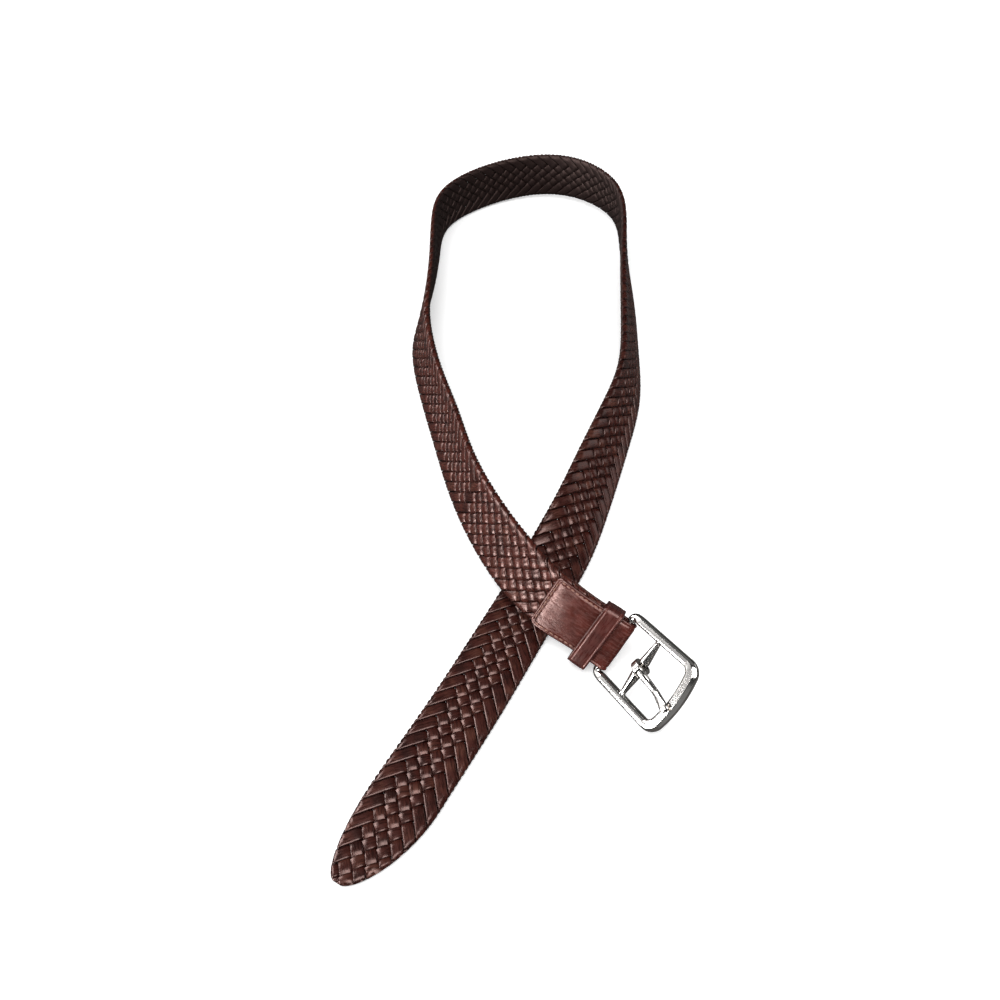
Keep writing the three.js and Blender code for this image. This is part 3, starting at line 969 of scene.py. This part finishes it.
    def lace(self, number: int) -> Surface:
        """One lace: closed rings of a soft-cornered oval round its middle surface.

        Args:
            number: Number of the lace, from 0.

        Returns:
            Its surface.
        """
        surface = Surface()
        margin = self.lace_half_width
        along = np.arange(-self.lead * margin, self.lay.length + margin, self.step)[:, None]
        turn = 2.0 * np.pi * np.arange(self.ring_points)[None, :] / self.ring_points
        share = signed_power(np.cos(turn), self.ring_power)
        across = self.lace_half_width * share
        offset = self.lace_half_thickness * signed_power(np.sin(turn), self.ring_power)
        flat = self.middle(along, across, number)
        nudge = 0.05
        ahead = self.middle(along + nudge, across, number) - flat
        beside = self.middle(along, across + nudge, number) - flat
        body = flat + offset[..., None] * unit(np.cross(ahead, beside))
        centre = (along - number * self.pitch) * np.tan(self.angle)
        run = np.floor(centre / self.run_width).astype(int) + 2
        random = np.random.default_rng(self.tone_seed + number)
        tones = random.uniform(-1.0, 1.0, self.tone_count)
        whole = np.zeros(body.shape[:2])
        values = {
            "along": np.clip(body[..., 0] / self.lay.length, 0.0, 1.0),
            "edge": np.abs(share) + whole,
            "level": body[..., 2] / self.level,
            "tone": tones[np.clip(run, 0, self.tone_count - 1)] + whole,
            "run": along / np.cos(self.angle) + whole,
            "side": across + whole,
        }
        points = self.shaped(body)
        middle = self.middle(along, np.zeros((1, 1)), number)[:, 0]
        for start, end in self.kept_rows(middle):
            part = {key: value[start:end] for key, value in values.items()}
            surface.add_grid(points[start:end], capped=True, **part)
        return surface

    def build(self) -> None:
        """Makes the laces."""
        finish = LaceLeather().make()
        for number in range(self.laces):
            piece = self.lace(number).build(f"lace_{number + 1}", finish)
            place(piece, Body.BELT, Slot.WOVEN, "woven_strap")


# ---- The chape, its stitches and the keeper ----


@dataclass(frozen=True)
class Chape:
    """Leather strip folded round the buckle's rear bar, stitched to the strap on both faces.

    Lengths are in millimetres. Skiving holds the share of the thickness left at the ends, what
    it gains further in, and over what length. The stitch_margins keep the side stitches off
    the end and the fold, and the end stitches off the corners. The face_points are counts over
    the outer face, the inner face and a round edge.
    """

    lay: Lay
    half_width: float = 14.2
    length: float = 41.2
    skew: float = 0.6
    flare: tuple[float, float] = (0.14, 0.06)
    flare_length: float = 27.0
    thickness: float = 1.5
    fold_radius: float = 3.15
    corner_radius: float = 3.0
    row_step: float = 0.32
    stitch_inset: float = 1.75
    stitch_length: float = 1.9
    stitch_pitch: float = 2.75
    stitch_radius: float = 0.42
    stitch_arch: float = 0.16
    stitch_margins: tuple[float, float, float] = (4.2, 4.0, 2.6)
    groove_depth: float = 0.36
    groove_width: float = 0.60
    end_hug: float = 0.42
    end_hug_length: float = 3.2
    edge_hug: float = 0.30
    hug_fade: float = 9.0
    crease_depth: float = 0.055
    crease_reach: tuple[float, float] = (34.0, 6.0)
    crease_start: tuple[float, float] = (2.0, 4.5)
    swell_depth: float = 0.05
    end_rounding: float = 0.8
    skiving: tuple[float, float, float] = (0.66, 0.34, 6.0)
    face_points: tuple[int, int, int] = (120, 30, 9)

    @property
    def total(self) -> float:
        """Length of the whole strip."""
        return 2.0 * self.length + np.pi * self.fold_radius

    def width_at(self, run: Array) -> Array:
        """Half the width at a distance from either end, with round corners.

        Args:
            run: Distance from the nearer end.

        Returns:
            Half width - radius + the corner circle's height there.
        """
        missing = np.maximum(self.corner_radius - run, 0.0)
        root = np.sqrt(np.maximum(self.corner_radius**2 - missing**2, 0.0))
        return self.half_width - self.corner_radius + root

    def sheet_point(self, run: Array, across: Array, offset: Array) -> Array:
        """A point of the folded strip.

        Args:
            run: Distance along the strip from its end on the outer face.
            across: Place across it.
            offset: Height over the middle of its thickness, outwards.

        Returns:
            Points in the frame. The strip lies over the strap, turns half a circle round the
            rear bar and comes back underneath. Near its ends it hugs the braid and flares,
            more on the lower side, and its end edges slant by skew.
        """
        turn = np.clip((run - self.length) / self.fold_radius, 0.0, np.pi)
        back = np.maximum(run - self.total + self.length, 0.0)
        flat = np.minimum(run, self.length) - back
        from_end = np.minimum(run, self.total - run)
        pull = self.end_hug * bell(from_end, self.end_hug_length)
        pull = pull + self.edge_hug * np.abs(across / self.half_width) ** 4
        pull = pull * smooth_step(self.length, self.length - self.hug_fade, from_end)
        radius = self.fold_radius + offset - pull
        share = across / self.half_width
        near_end = smooth_step(self.flare_length, 0.0, from_end)
        across = across * (1.0 + near_end * np.where(share < 0.0, *self.flare))
        start = self.lay.length - self.length + self.skew * share * near_end
        distance = start + flat + radius * np.sin(turn)
        return self.lay.point(distance, across, radius * np.cos(turn))

    def relief(self, run: Array, across: Array) -> Array:
        """Height of the outer face: swells, creases along the strap and pressed stitch grooves.

        Args:
            run: Distance along the strip.
            across: Place across it.

        Returns:
            The height over the plain face: sums of sines, less a bell along each stitch line.
        """
        from_end = np.minimum(run, self.total - run)
        reach = self.half_width - self.stitch_inset
        side_groove = bell(reach - np.abs(across), self.groove_width)
        side_groove = side_groove * smooth_step(0.8, 2.4, from_end)
        end_groove = bell(from_end - self.stitch_inset, self.groove_width)
        end_groove = end_groove * smooth_step(reach + 0.8, reach - 0.8, np.abs(across))
        fade = smooth_step(*self.crease_reach, from_end)
        fade = fade * smooth_step(*self.crease_start, from_end)
        bend = across + 0.5 * waves(run * 0.4, across, 5, 5, 9.0, 20.0)
        creases = self.crease_depth * waves(bend, run * 0.12, 11, 7, 1.6, 4.2) * fade
        swell = self.swell_depth * waves(run, across, 3, 6, 6.0, 16.0)
        return creases + swell - self.groove_depth * np.maximum(side_groove, end_groove)

    def strip(self) -> Surface:
        """The strip as rings across it: outer face, round edge, inner face, round edge.

        Returns:
            Its surface. It is pared thinner towards its ends, which are round.
        """
        surface = Surface()
        rows = int(self.total / self.row_step)
        ends = np.array([0.02, 0.08, 0.2])
        middle = np.linspace(0.35, self.total - 0.35, rows)
        run = np.concatenate([ends, middle, self.total - ends[::-1]])[:, None]
        from_end = np.minimum(run, self.total - run)
        half = self.width_at(from_end)
        pared, rest, pared_length = self.skiving
        thin = self.thickness * (pared + rest * smooth_step(0.0, pared_length, from_end)) / 2.0
        end_share = np.clip(from_end / self.end_rounding, 0.0, 1.0)
        thin = thin * np.sqrt(1.0 - (1.0 - end_share) ** 2)
        outer_count, inner_count, edge_count = self.face_points
        outer = np.linspace(1.0, -1.0, outer_count)[None, :]
        inner = np.linspace(-1.0, 1.0, inner_count)[None, :]
        arc = np.linspace(np.pi / 2, -np.pi / 2, edge_count)[None, 1:-1]
        rounded = half - thin
        cheek = thin * np.cos(arc)
        across = [rounded * outer, -rounded - cheek, rounded * inner, rounded + cheek]
        face = thin + self.relief(run, rounded * outer)
        height = [face, thin * np.sin(arc), -thin + 0.0 * inner, -thin * np.sin(arc)]
        across, height = np.concatenate(across, axis=1), np.concatenate(height, axis=1)
        # Darkening: 1 on the burnished round edges, 0.6 on the inner face as painted shade.
        edge = [0.0 * outer, 0.0 * arc + 1.0, 0.0 * inner + 0.6, 0.0 * arc + 1.0]
        surface.add_grid(
            self.sheet_point(run, across, height),
            capped=True,
            edge=np.concatenate(edge, axis=1) + 0.0 * run,
            run=run + 0.0 * across,
            side=across,
        )
        return surface

    def stitch_line(self) -> Array:
        """Places of the stitches: along both sides and across the end of each half.

        Returns:
            One row for each stitch: its middle as (run, across), and its turn in radians.
        """
        reach = self.half_width - self.stitch_inset
        start_margin, stop_margin, corner_margin = self.stitch_margins
        sides = np.arange(start_margin, self.length - stop_margin, self.stitch_pitch)
        count = int(2.0 * (reach - corner_margin) / self.stitch_pitch)
        ends = (np.arange(count + 1) - count / 2.0) * self.stitch_pitch
        lines = [(run, side * reach, 0.0) for side in (1.0, -1.0) for run in sides]
        lines += [(self.stitch_inset, across, np.pi / 2) for across in ends]
        both = lines + [(self.total - run, across, -turn) for run, across, turn in lines]
        return np.array(both)

    def stitches(self) -> Surface:
        """Stitches as capsules sunk in the groove, closed round at both ends.

        Returns:
            Their surface.
        """
        surface = Surface()
        share = np.sin(np.linspace(-np.pi / 2, np.pi / 2, 9))[:, None]
        turn = 2.0 * np.pi * np.arange(8)[None, :] / 8
        girth = self.stitch_radius * np.sqrt(np.maximum(1.0 - np.abs(share) ** 4, 0.015))
        arch = self.stitch_arch
        sink = self.thickness / 2.0 - self.groove_depth + arch - arch * share**2
        for run, across, direction in self.stitch_line():
            lengthwise = share * self.stitch_length / 2.0 + 0.0 * turn
            sideways = girth * np.cos(turn)
            cosine, sine = np.cos(direction), np.sin(direction)
            points = self.sheet_point(
                run + lengthwise * cosine - sideways * sine,
                across + lengthwise * sine + sideways * cosine,
                girth * np.sin(turn) + sink,
            )
            surface.add_grid(points, capped=True, run=lengthwise, side=turn + 0.0 * lengthwise)
        return surface

    def build(self) -> None:
        """Makes the strip and its stitches."""
        leather = SmoothLeather(
            name="chape_leather",
            base=(0.092, 0.0165, 0.0110),
            dark=(0.036, 0.0055, 0.0036),
            pale=(0.15, 0.040, 0.028),
            shine=0.18,
            creases=1.0,
        ).make()
        place(self.strip().build("chape_strip", leather), Body.BELT, Slot.SMOOTH, "chape")
        place(self.stitches().build("chape_stitches", Thread().make()), Body.BELT, Slot.SMOOTH)


@dataclass(frozen=True)
class Keeper:
    """Leather loop round the chape, with a crease line pressed in beside each long edge.

    Lengths are in millimetres. Its outer face is a dome's height thicker in the middle, and
    wavers a little over its girth.
    """

    lay: Lay
    width: float = 10.0
    setback: float = 4.9
    thickness: float = 1.5
    inner_half_width: float = 16.7
    inner_half_height: float = 4.5
    drop: float = 1.7
    slant: float = 0.05
    corner_radius: float = 3.2
    crease_inset: float = 1.5
    crease_depth: float = 0.22
    crease_width: float = 0.32
    bevel_share: float = 0.42
    dome: float = 0.10
    girth: float = 96.0
    waver: float = 0.06

    def outline(self) -> tuple[Array, Array]:
        """The loop's outer outline, a rectangle with round corners.

        Returns:
            Points as (across, height), and the way out of the outline at each.
        """
        half = np.array([self.inner_half_width, self.inner_half_height]) + self.thickness
        centres = np.array([[1, 1], [-1, 1], [-1, -1], [1, -1]]) * (half - self.corner_radius)
        points, facings = [], []
        for quarter in range(4):
            angle = np.pi / 2 * (quarter + np.linspace(0.0, 1.0, 14))
            facing = np.stack([np.cos(angle), np.sin(angle)], -1)
            corner = centres[quarter] + facing * self.corner_radius
            towards = centres[(quarter + 1) % 4] + facing[-1] * self.corner_radius
            share = np.linspace(0.0, 1.0, 40 if quarter % 2 == 0 else 12)[1:-1, None]
            points += [corner, corner[-1] + (towards - corner[-1]) * share]
            facings += [facing, facing[-1] + 0.0 * share]
        return np.concatenate(points), np.concatenate(facings)

    def loop(self) -> Surface:
        """The loop as rings round its wall: domed outer face, round edges, flat inner face.

        Returns:
            Its surface, which slants along the strap by slant times the place across.
        """
        surface = Surface()
        points, facings = self.outline()
        half, bevel = self.width / 2.0, self.thickness * self.bevel_share
        across_wall = np.linspace(-1.0, 1.0, 46)
        lengthwise = across_wall * (half - bevel)
        crease = bell(half - self.crease_inset - np.abs(lengthwise), self.crease_width)
        rise = self.dome * (1.0 - across_wall**2) - self.dome - self.crease_depth * crease
        arc = np.linspace(np.pi / 2, -np.pi / 2, 9)[1:-1]
        back = np.linspace(half - bevel, -half + bevel, 12)
        centre = -self.thickness / 2.0
        cheek = half - bevel + bevel * np.cos(arc)
        run = np.concatenate([lengthwise, cheek, back, -cheek])[None, :]
        rounding = (self.thickness / 2.0 - 0.05) * np.sin(arc)
        offset = [rise, centre + rounding, 0.0 * back - self.thickness, centre - rounding]
        offset = np.concatenate(offset)[None, :]
        # Darkening: 0.8 on the burnished round edges, 0.6 on the inner face as painted shade.
        edge = [0.0 * rise, 0.0 * arc + 0.8, 0.0 * back + 0.6, 0.0 * arc + 0.8]
        line = [0.6 * crease, 0.0 * arc, 0.0 * back, 0.0 * arc]
        middle = self.lay.length - self.setback - half
        around = np.linspace(0.0, self.girth, len(points), endpoint=False)[:, None]
        waver = self.waver * waves(around, run, 21, 6, 8.0, 22.0)
        out = offset + np.minimum(waver, 0.0) * (offset > -0.5)
        place_across = points[:, :1] - self.drop + facings[:, :1] * out
        height = points[:, 1:] + facings[:, 1:] * out
        # Painted shade: the wall that faces across is darkened by up to half.
        wall = 0.5 * smooth_step(0.5, 1.0, facings[:, :1])
        surface.add_grid(
            self.lay.point(middle + run + self.slant * place_across, place_across, height),
            rows_close=True,
            edge=np.clip(np.concatenate(edge)[None, :] + wall, 0.0, 1.0),
            line=np.concatenate(line)[None, :] + 0.0 * around,
            run=around + 0.0 * run,
            side=run + 0.0 * around,
        )
        return surface

    def build(self) -> None:
        """Makes the loop."""
        leather = SmoothLeather(
            name="keeper_leather",
            base=(0.078, 0.0145, 0.0110),
            dark=(0.034, 0.0060, 0.0050),
            pale=(0.15, 0.042, 0.032),
            shine=0.22,
            creases=0.45,
        ).make()
        place(self.loop().build("keeper_loop", leather), Body.BELT, Slot.SMOOTH, "keeper")


# ---- The buckle ----


@dataclass(frozen=True)
class Buckle:
    """Centre-bar buckle: a rounded frame, a tapered bar across it and a spoon-tipped prong.

    Lengths are in millimetres and angles in degrees. A bar's two numbers are its width and its
    height. Slide shifts the buckle across the strap and bend tips it down. The prong_rows hold
    shares of its reach, of its height over the front bar, of its width and of its thickness.
    """

    lay: Lay
    slide: float = 0.2
    bend: float = 32.0
    rear_width: float = 40.0
    front_width: float = 42.0
    reach: float = 46.2
    bow: float = 2.5
    rear_bar: float = 4.2
    side_bar: tuple[float, float] = (4.7, 4.8)
    front_bar: tuple[float, float] = (6.3, 5.4)
    rear_corner: float = 4.6
    front_corner: float = 7.5
    squareness: float = 0.7
    facet: float = 48.0
    facet_limit: float = 0.97
    top_limit: float = 0.93
    top_share: tuple[float, float] = (0.3, 0.7)
    corner_points: int = 29
    bar_points: int = 60
    section_points: int = 88
    bar_reach: float = 18.5
    bar_end: float = 1.4
    bar_shoulder: float = 2.6
    bar_waist: float = 1.5
    bar_collar: float = 1.35
    ring_width: float = 4.0
    ring_bore: float = 2.25
    ring_wall: float = 2.4
    ring_rounding: float = 0.45
    prong_width: float = 4.6
    prong_thickness: float = 2.4
    prong_overhang: float = 3.6
    prong_skew: float = 11.0
    prong_power: float = 0.85
    spoon_hollow: float = 0.35
    spoon_start: tuple[float, float] = (0.74, 0.93)
    gap: float = 0.3
    prong_rows: tuple[tuple[float, float, float, float], ...] = (
        (0, 0.72, 0.92, 1), (0.16, 0.7, 0.9, 1), (0.38, 0.46, 0.78, 1), (0.58, 0.42, 0.76, 1),
        (0.76, 0.74, 0.9, 1), (0.88, 1, 1, 0.95), (0.96, 1.02, 0.84, 0.85), (1, 0.98, 0.5, 0.6),
    )

    @cached_property
    def basis(self) -> Array:
        """The buckle's directions at rest, bent down from the strap's end.

        Returns:
            Rows: forward, across and upward.
        """
        end = self.lay.length - 1.0
        keys = ("along", "across", "outward")
        along, across, outward = (self.lay.read(key, end) for key in keys)
        bend = np.radians(self.bend)
        forward = np.cos(bend) * along + np.sin(bend) * outward
        return np.stack([forward, across, np.cross(forward, across)])

    def to_frame(self, points: Array, turn: float = 0.0, ahead: float = 0.0) -> Array:
        """Puts points of the buckle's own frame in the shared one, after a turn about upward.

        Args:
            points: Points as (forward, across, upward).
            turn: Angle of the turn, in radians.
            ahead: Shift forward after the turn.

        Returns:
            Points in the frame.
        """
        cosine, sine = np.cos(turn), np.sin(turn)
        x = points[..., 0] * cosine - points[..., 1] * sine + ahead
        y = points[..., 0] * sine + points[..., 1] * cosine
        local = np.stack([x, y, points[..., 2]], -1)
        origin = self.lay.read("position", self.lay.length) + self.lay.shift
        origin = origin + self.slide * self.lay.read("across", self.lay.length)
        return origin + local @ self.basis

    @property
    def front_reach(self) -> float:
        """Distance from the rear bar's middle to the front bar's middle."""
        return self.reach - self.front_bar[0] / 2.0

    def path(self) -> Array:
        """Middle line of the frame's bars: a trapezoid with round corners and a bowed front.

        Returns:
            Points as (forward, across), once round.
        """
        rear_half = (self.rear_width - self.side_bar[0]) / 2.0
        front_half = (self.front_width - self.side_bar[0]) / 2.0
        front = self.front_reach - self.bow
        corners = np.array(
            [[0, -rear_half], [front, -front_half], [front, front_half], [0, rear_half]]
        )
        rear_radius = self.rear_corner - self.rear_bar / 2.0
        front_radius = self.front_corner - self.front_bar[0] / 2.0
        radii = (rear_radius, front_radius, front_radius, rear_radius)
        arcs = []
        for index, (corner, radius) in enumerate(zip(corners, radii)):
            before = unit(corners[index - 1] - corner)
            after = unit(corners[(index + 1) % 4] - corner)
            half_angle = np.arccos(before @ after) / 2.0
            centre = corner + unit(before + after) * radius / np.sin(half_angle)
            start = corner + before * radius / np.tan(half_angle) - centre
            sweep = (np.pi - 2.0 * half_angle) * np.linspace(0.0, 1.0, self.corner_points)
            angle = np.arctan2(start[1], start[0]) + sweep
            arcs.append(centre + radius * np.stack([np.cos(angle), np.sin(angle)], -1))
        parts = []
        for index, arc in enumerate(arcs):
            following = arcs[(index + 1) % 4][0]
            share = np.linspace(0.0, 1.0, self.bar_points)[1:-1, None]
            parts += [arc, arc[-1] + (following - arc[-1]) * share]
        path = np.concatenate(parts)
        bow = self.bow * (path[:, 0] / front) ** 4 * (1.0 - (path[:, 1] / front_half) ** 2)
        return path + np.stack([bow, 0.0 * bow], -1)

    def section(self, squareness: Array, front: Array) -> tuple[Array, Array]:
        """A bar's section, one row for each point of the path, in shares of its half size.

        A soft-cornered oval; on the front bar a flat top and a slanting facet on its far side
        are cut from it.

        Args:
            squareness: Power of the oval at each point of the path.
            front: Share of the front bar's form at each point.

        Returns:
            Shares of the half width and of the half height.
        """
        turn = 2.0 * np.pi * np.arange(self.section_points)[None, :] / self.section_points
        power = squareness[:, None]
        side, up = signed_power(np.cos(turn), power), signed_power(np.sin(turn), power)
        always, more = self.top_share
        cuts = (
            (np.radians(self.facet), self.facet_limit, front),
            (np.pi / 2, self.top_limit, always + more * front),
        )
        for angle, limit, weight in cuts:
            beyond = side * np.cos(angle) + up * np.sin(angle) - limit
            cut = np.maximum(beyond, 0.0) * weight[:, None]
            side, up = side - cut * np.cos(angle), up - cut * np.sin(angle)
        return side, up

    def ring(self, surface: Surface) -> None:
        """The frame's bars: a section carried round the path, round behind and broad in front.

        Args:
            surface: The surface that it adds them to.
        """
        path = self.path()
        along = unit(np.roll(path, -1, axis=0) - np.roll(path, 1, axis=0))
        side_share = smooth_step(0.0, self.rear_corner, path[:, 0])
        start = self.front_reach - self.front_corner
        front = smooth_step(start, self.front_reach - self.bow, path[:, 0])
        sizes = []
        for side_size, front_size in zip(self.side_bar, self.front_bar):
            rear_to_side = self.rear_bar + (side_size - self.rear_bar) * side_share
            sizes.append((rear_to_side + (front_size - rear_to_side) * front) / 2.0)
        side, up = self.section(1.0 + (self.squareness - 1.0) * side_share, front)
        side, up = side * sizes[0][:, None], up * sizes[1][:, None]
        x = path[:, :1] + along[:, 1:] * side
        y = path[:, 1:] - along[:, :1] * side
        surface.add_grid(self.to_frame(np.stack([x, y, up], -1)), rows_close=True)

    def centre_bar(self, surface: Surface) -> None:
        """The bar across the frame: a turned profile with collars, cones and a waist.

        Args:
            surface: The surface that it adds the bar to.
        """
        share = self.bar_reach / self.front_reach
        width = self.rear_width + (self.front_width - self.rear_width) * share
        half = (width - self.side_bar[0]) / 2.0
        inside = half - self.side_bar[0] / 2.0
        skew = np.sin(np.radians(self.prong_skew))
        waist_half = self.ring_width / 2.0 + (self.ring_bore + self.ring_wall) * skew + self.gap
        end, shoulder, waist = self.bar_end, self.bar_shoulder, self.bar_waist
        corners = np.array(
            [
                [0.02, half],
                [end * self.bar_collar, half - 0.1],
                [end * self.bar_collar, inside + 0.3],
                [end * 1.2, inside],
                [end, inside - end * 0.6],
                [end * 1.12, inside - end * 1.6],
                [shoulder * 0.97, waist_half + waist],
                [shoulder, waist_half + waist * 0.6],
                [shoulder, waist_half + self.gap],
                [shoulder - self.gap, waist_half],
                [waist, waist_half - 0.05],
            ]
        )
        profile = np.concatenate([corners, corners[::-1] * np.array([1.0, -1.0])])
        steps = np.arange(4)[None, :, None] / 4.0
        fine = profile[:-1, None] + (profile[1:] - profile[:-1])[:, None] * steps
        fine = np.concatenate([fine.reshape(-1, 2), profile[-1:]])
        turn = 2.0 * np.pi * np.arange(40)[None, :] / 40
        radius, place_along = fine[:, :1], fine[:, 1:] + 0.0 * turn
        x = self.bar_reach + radius * np.cos(turn)
        points = np.stack([x, place_along, radius * np.sin(turn)], -1)
        surface.add_grid(self.to_frame(points), capped=True)

    def prong(self) -> Surface:
        """The prong: ovals along a bent line, with a ring that turns on the bar's waist.

        Returns:
            Its surface, with a shallow hollow in the top of its spoon tip.
        """
        surface = Surface()
        skew = np.radians(self.prong_skew)
        crossing = self.front_bar[1] / 2.0 + self.gap + self.prong_thickness / 2.0
        inner = self.front_reach - self.front_bar[0] / 2.0
        reach = (inner - self.bar_reach + self.prong_overhang) / np.cos(skew)
        sizes = np.array([reach, crossing, self.prong_width, self.prong_thickness])
        table = curve_through(np.array(self.prong_rows) * sizes, 90)
        line = table[:, [0, 1]]
        along = unit(np.gradient(line, axis=0))
        turn = 2.0 * np.pi * np.arange(36)[None, :] / 36
        across_share = signed_power(np.cos(turn), self.prong_power)
        side = across_share * table[:, 2:3] / 2.0
        up = signed_power(np.sin(turn), self.prong_power) * table[:, 3:4] / 2.0
        spoon = smooth_step(*self.spoon_start, line[:, :1] / reach)
        up = up - self.spoon_hollow * spoon * (1.0 - across_share**2) * (up > 0.0)
        x = line[:, :1] - along[:, 1:] * up
        z = line[:, 1:] + along[:, :1] * up
        ovals = np.stack([x, side, z], -1)
        surface.add_grid(self.to_frame(ovals, -skew, self.bar_reach), capped=True)
        bore, half, corner = self.ring_bore, self.ring_width / 2.0, self.ring_rounding
        outer = bore + self.ring_wall
        arc = np.linspace(0.0, np.pi / 2, 6)
        flat = np.linspace(-1.0, 1.0, 8)
        radius = [
            0.0 * flat[:-1] + outer,
            outer - corner + corner * np.cos(arc),
            0.0 * flat + bore,
            (outer - corner + corner * np.sin(arc))[:-1],
        ]
        place_at = [
            (half - corner) * flat[:-1],
            half - corner + corner * np.sin(arc),
            -half * flat,
            (-half + corner - corner * np.cos(arc))[:-1],
        ]
        radius, place_at = np.concatenate(radius), np.concatenate(place_at)
        around = (2.0 * np.pi * np.arange(64) / 64)[:, None]
        ring = [radius * np.cos(around), place_at + 0.0 * around, radius * np.sin(around)]
        ring = self.to_frame(np.stack(ring, -1), -skew, self.bar_reach)
        surface.add_grid(ring, rows_close=True)
        return surface

    def build(self) -> None:
        """Makes the frame with its centre bar, and the prong."""
        metal = PolishedNickel().make()
        bars = Surface()
        self.ring(bars)
        self.centre_bar(bars)
        place(bars.build("buckle_bars", metal), Body.BUCKLE, Slot.METAL, "buckle_frame")
        place(self.prong().build("prong_spoon", metal), Body.PRONG, Slot.METAL, "buckle_prong")


# ---- The stage ----


@dataclass(frozen=True)
class Card:
    """A square studio lamp, which lights matt surfaces or else is mirrored by glossy ones.

    It stands at a distance in metres along a direction from the point that it faces.
    """

    name: str
    direction: tuple[float, float, float]
    distance: float
    size: float
    brightness: float
    mirrored: bool = True


@dataclass(frozen=True)
class Stage:
    """Pale floor, soft lights and the camera, which stands distance millimetres away."""

    lay: Lay
    distance: float = 537.165
    elevation: float = 48.8134
    lens: float = 32.79
    floor_size: float = 3.0
    floor_drop: float = 0.0001
    floor_tones: tuple[Colour, Colour] = ((0.93, 0.93, 0.93), (0.95, 0.95, 0.95))
    floor_in_gloss: Colour = (0.075, 0.072, 0.070)
    floor_glow: float = 0.25
    tent_light: float = 0.85
    card_watts: float = 4.0
    card_aim: tuple[float, float, float] = (-0.01, -0.03, 0.0)
    cards: tuple[Card, ...] = (
        Card("softbox", (-0.17, -0.28, 0.94), 1.8, 1.3, 3.2, mirrored=False),
        Card("top_card", (0.10, -0.57, 0.81), 1.5, 0.95, 6.5),
        Card("left_card", (-0.81, 0.25, 0.53), 1.4, 0.72, 8.0),
        Card("side_card", (-0.95, 0.06, 0.31), 1.3, 0.72, 0.85),
        Card("side_glow", (-0.93, 0.02, 0.27), 1.5, 2.00, 0.30),
        Card("low_card", (-0.84, -0.53, 0.16), 1.1, 0.38, 20.0),
        Card("right_card", (0.90, 0.27, 0.30), 1.4, 0.75, 0.95),
        Card("front_card", (0.08, -0.98, 0.16), 1.3, 0.55, 0.16),
        Card("far_card", (0.0, 0.50, 0.87), 1.8, 2.2, 0.10),
    )

    def floor(self) -> None:
        """A plain pale floor just under the belt, darker where the belt mirrors it."""
        half = self.floor_size / 2.0
        mesh = bpy.data.meshes.new("floor")
        corners = [(-half, -half), (half, -half), (half, half), (-half, half)]
        mesh.from_pydata([(x, y, -self.floor_drop) for x, y in corners], [], [(0, 1, 2, 3)])
        shader = Shader("floor_white")
        pale = shader.mix(shader.noise(shader.object_point, 3.0), *self.floor_tones)
        seen_in_gloss = shader.add("ShaderNodeLightPath").outputs["Is Glossy Ray"]
        mesh.materials.append(
            shader.finish(
                base_color=shader.mix(seen_in_gloss, pale, self.floor_in_gloss),
                roughness=0.9,
                specular_ior_level=0.0,
                emission_color=(1.0, 1.0, 1.0),
                emission_strength=shader.spread(seen_in_gloss, self.floor_glow, 0.0),
            )
        )
        floor = bpy.data.objects.new("floor", mesh)
        bpy.context.scene.collection.objects.link(floor)

    def card(self, card: Card) -> None:
        """Hangs a square lamp that faces the belt.

        Args:
            card: Its place, size and brightness, and whether glossy surfaces mirror it.
        """
        data = bpy.data.lights.new(card.name, "AREA")
        data.shape, data.size = "SQUARE", card.size
        data.energy = self.card_watts * card.brightness * card.size**2
        lamp = bpy.data.objects.new(card.name, data)
        way = Vector(card.direction).normalized()
        lamp.location = Vector(self.card_aim) + card.distance * way
        lamp.rotation_euler = (-way).to_track_quat("-Z", "Y").to_euler()
        lamp.visible_glossy, lamp.visible_diffuse = card.mirrored, not card.mirrored
        bpy.context.scene.collection.objects.link(lamp)

    def surroundings(self) -> None:
        """A pale tent that lights matt surfaces and that glossy ones don't mirror."""
        world = bpy.data.worlds.new("studio")
        world.use_nodes = True
        background = world.node_tree.nodes["Background"]
        background.inputs["Color"].default_value = (1.0, 1.0, 1.0, 1.0)
        background.inputs["Strength"].default_value = self.tent_light
        world.cycles_visibility.glossy = False
        bpy.context.scene.world = world

    def camera(self) -> None:
        """The camera at the photograph's angle, looking down at the middle of the belt."""
        angle = np.radians(self.elevation)
        target = self.lay.shift * np.array([1.0, 1.0, 0.0])
        back = self.distance * np.array([0.0, -np.cos(angle), np.sin(angle)])
        data = bpy.data.cameras.new("camera")
        data.lens, data.sensor_width = self.lens, 36.0
        data.clip_start, data.clip_end = 0.01, 20.0
        camera = bpy.data.objects.new("camera", data)
        camera.location = (target + back) * MM
        camera.rotation_euler = Vector(-back).to_track_quat("-Z", "Y").to_euler()
        bpy.context.scene.collection.objects.link(camera)
        bpy.context.scene.camera = camera

    def build(self) -> None:
        """Sets the stage."""
        self.floor()
        self.surroundings()
        for card in self.cards:
            self.card(card)
        self.camera()
        bpy.context.scene.view_settings.view_transform = "Standard"
        bpy.context.scene.view_settings.look = "None"


def main() -> None:
    """Builds the stage and the pieces in order."""
    logging.basicConfig(level=logging.INFO, format="%(message)s")
    lay = Lay()
    Stage(lay).build()
    for part in (WovenStrap(lay), Chape(lay), Keeper(lay), Buckle(lay)):
        part.build()
        log.info("%s is in place", type(part).__name__)


if __name__ == "__main__":
    main()
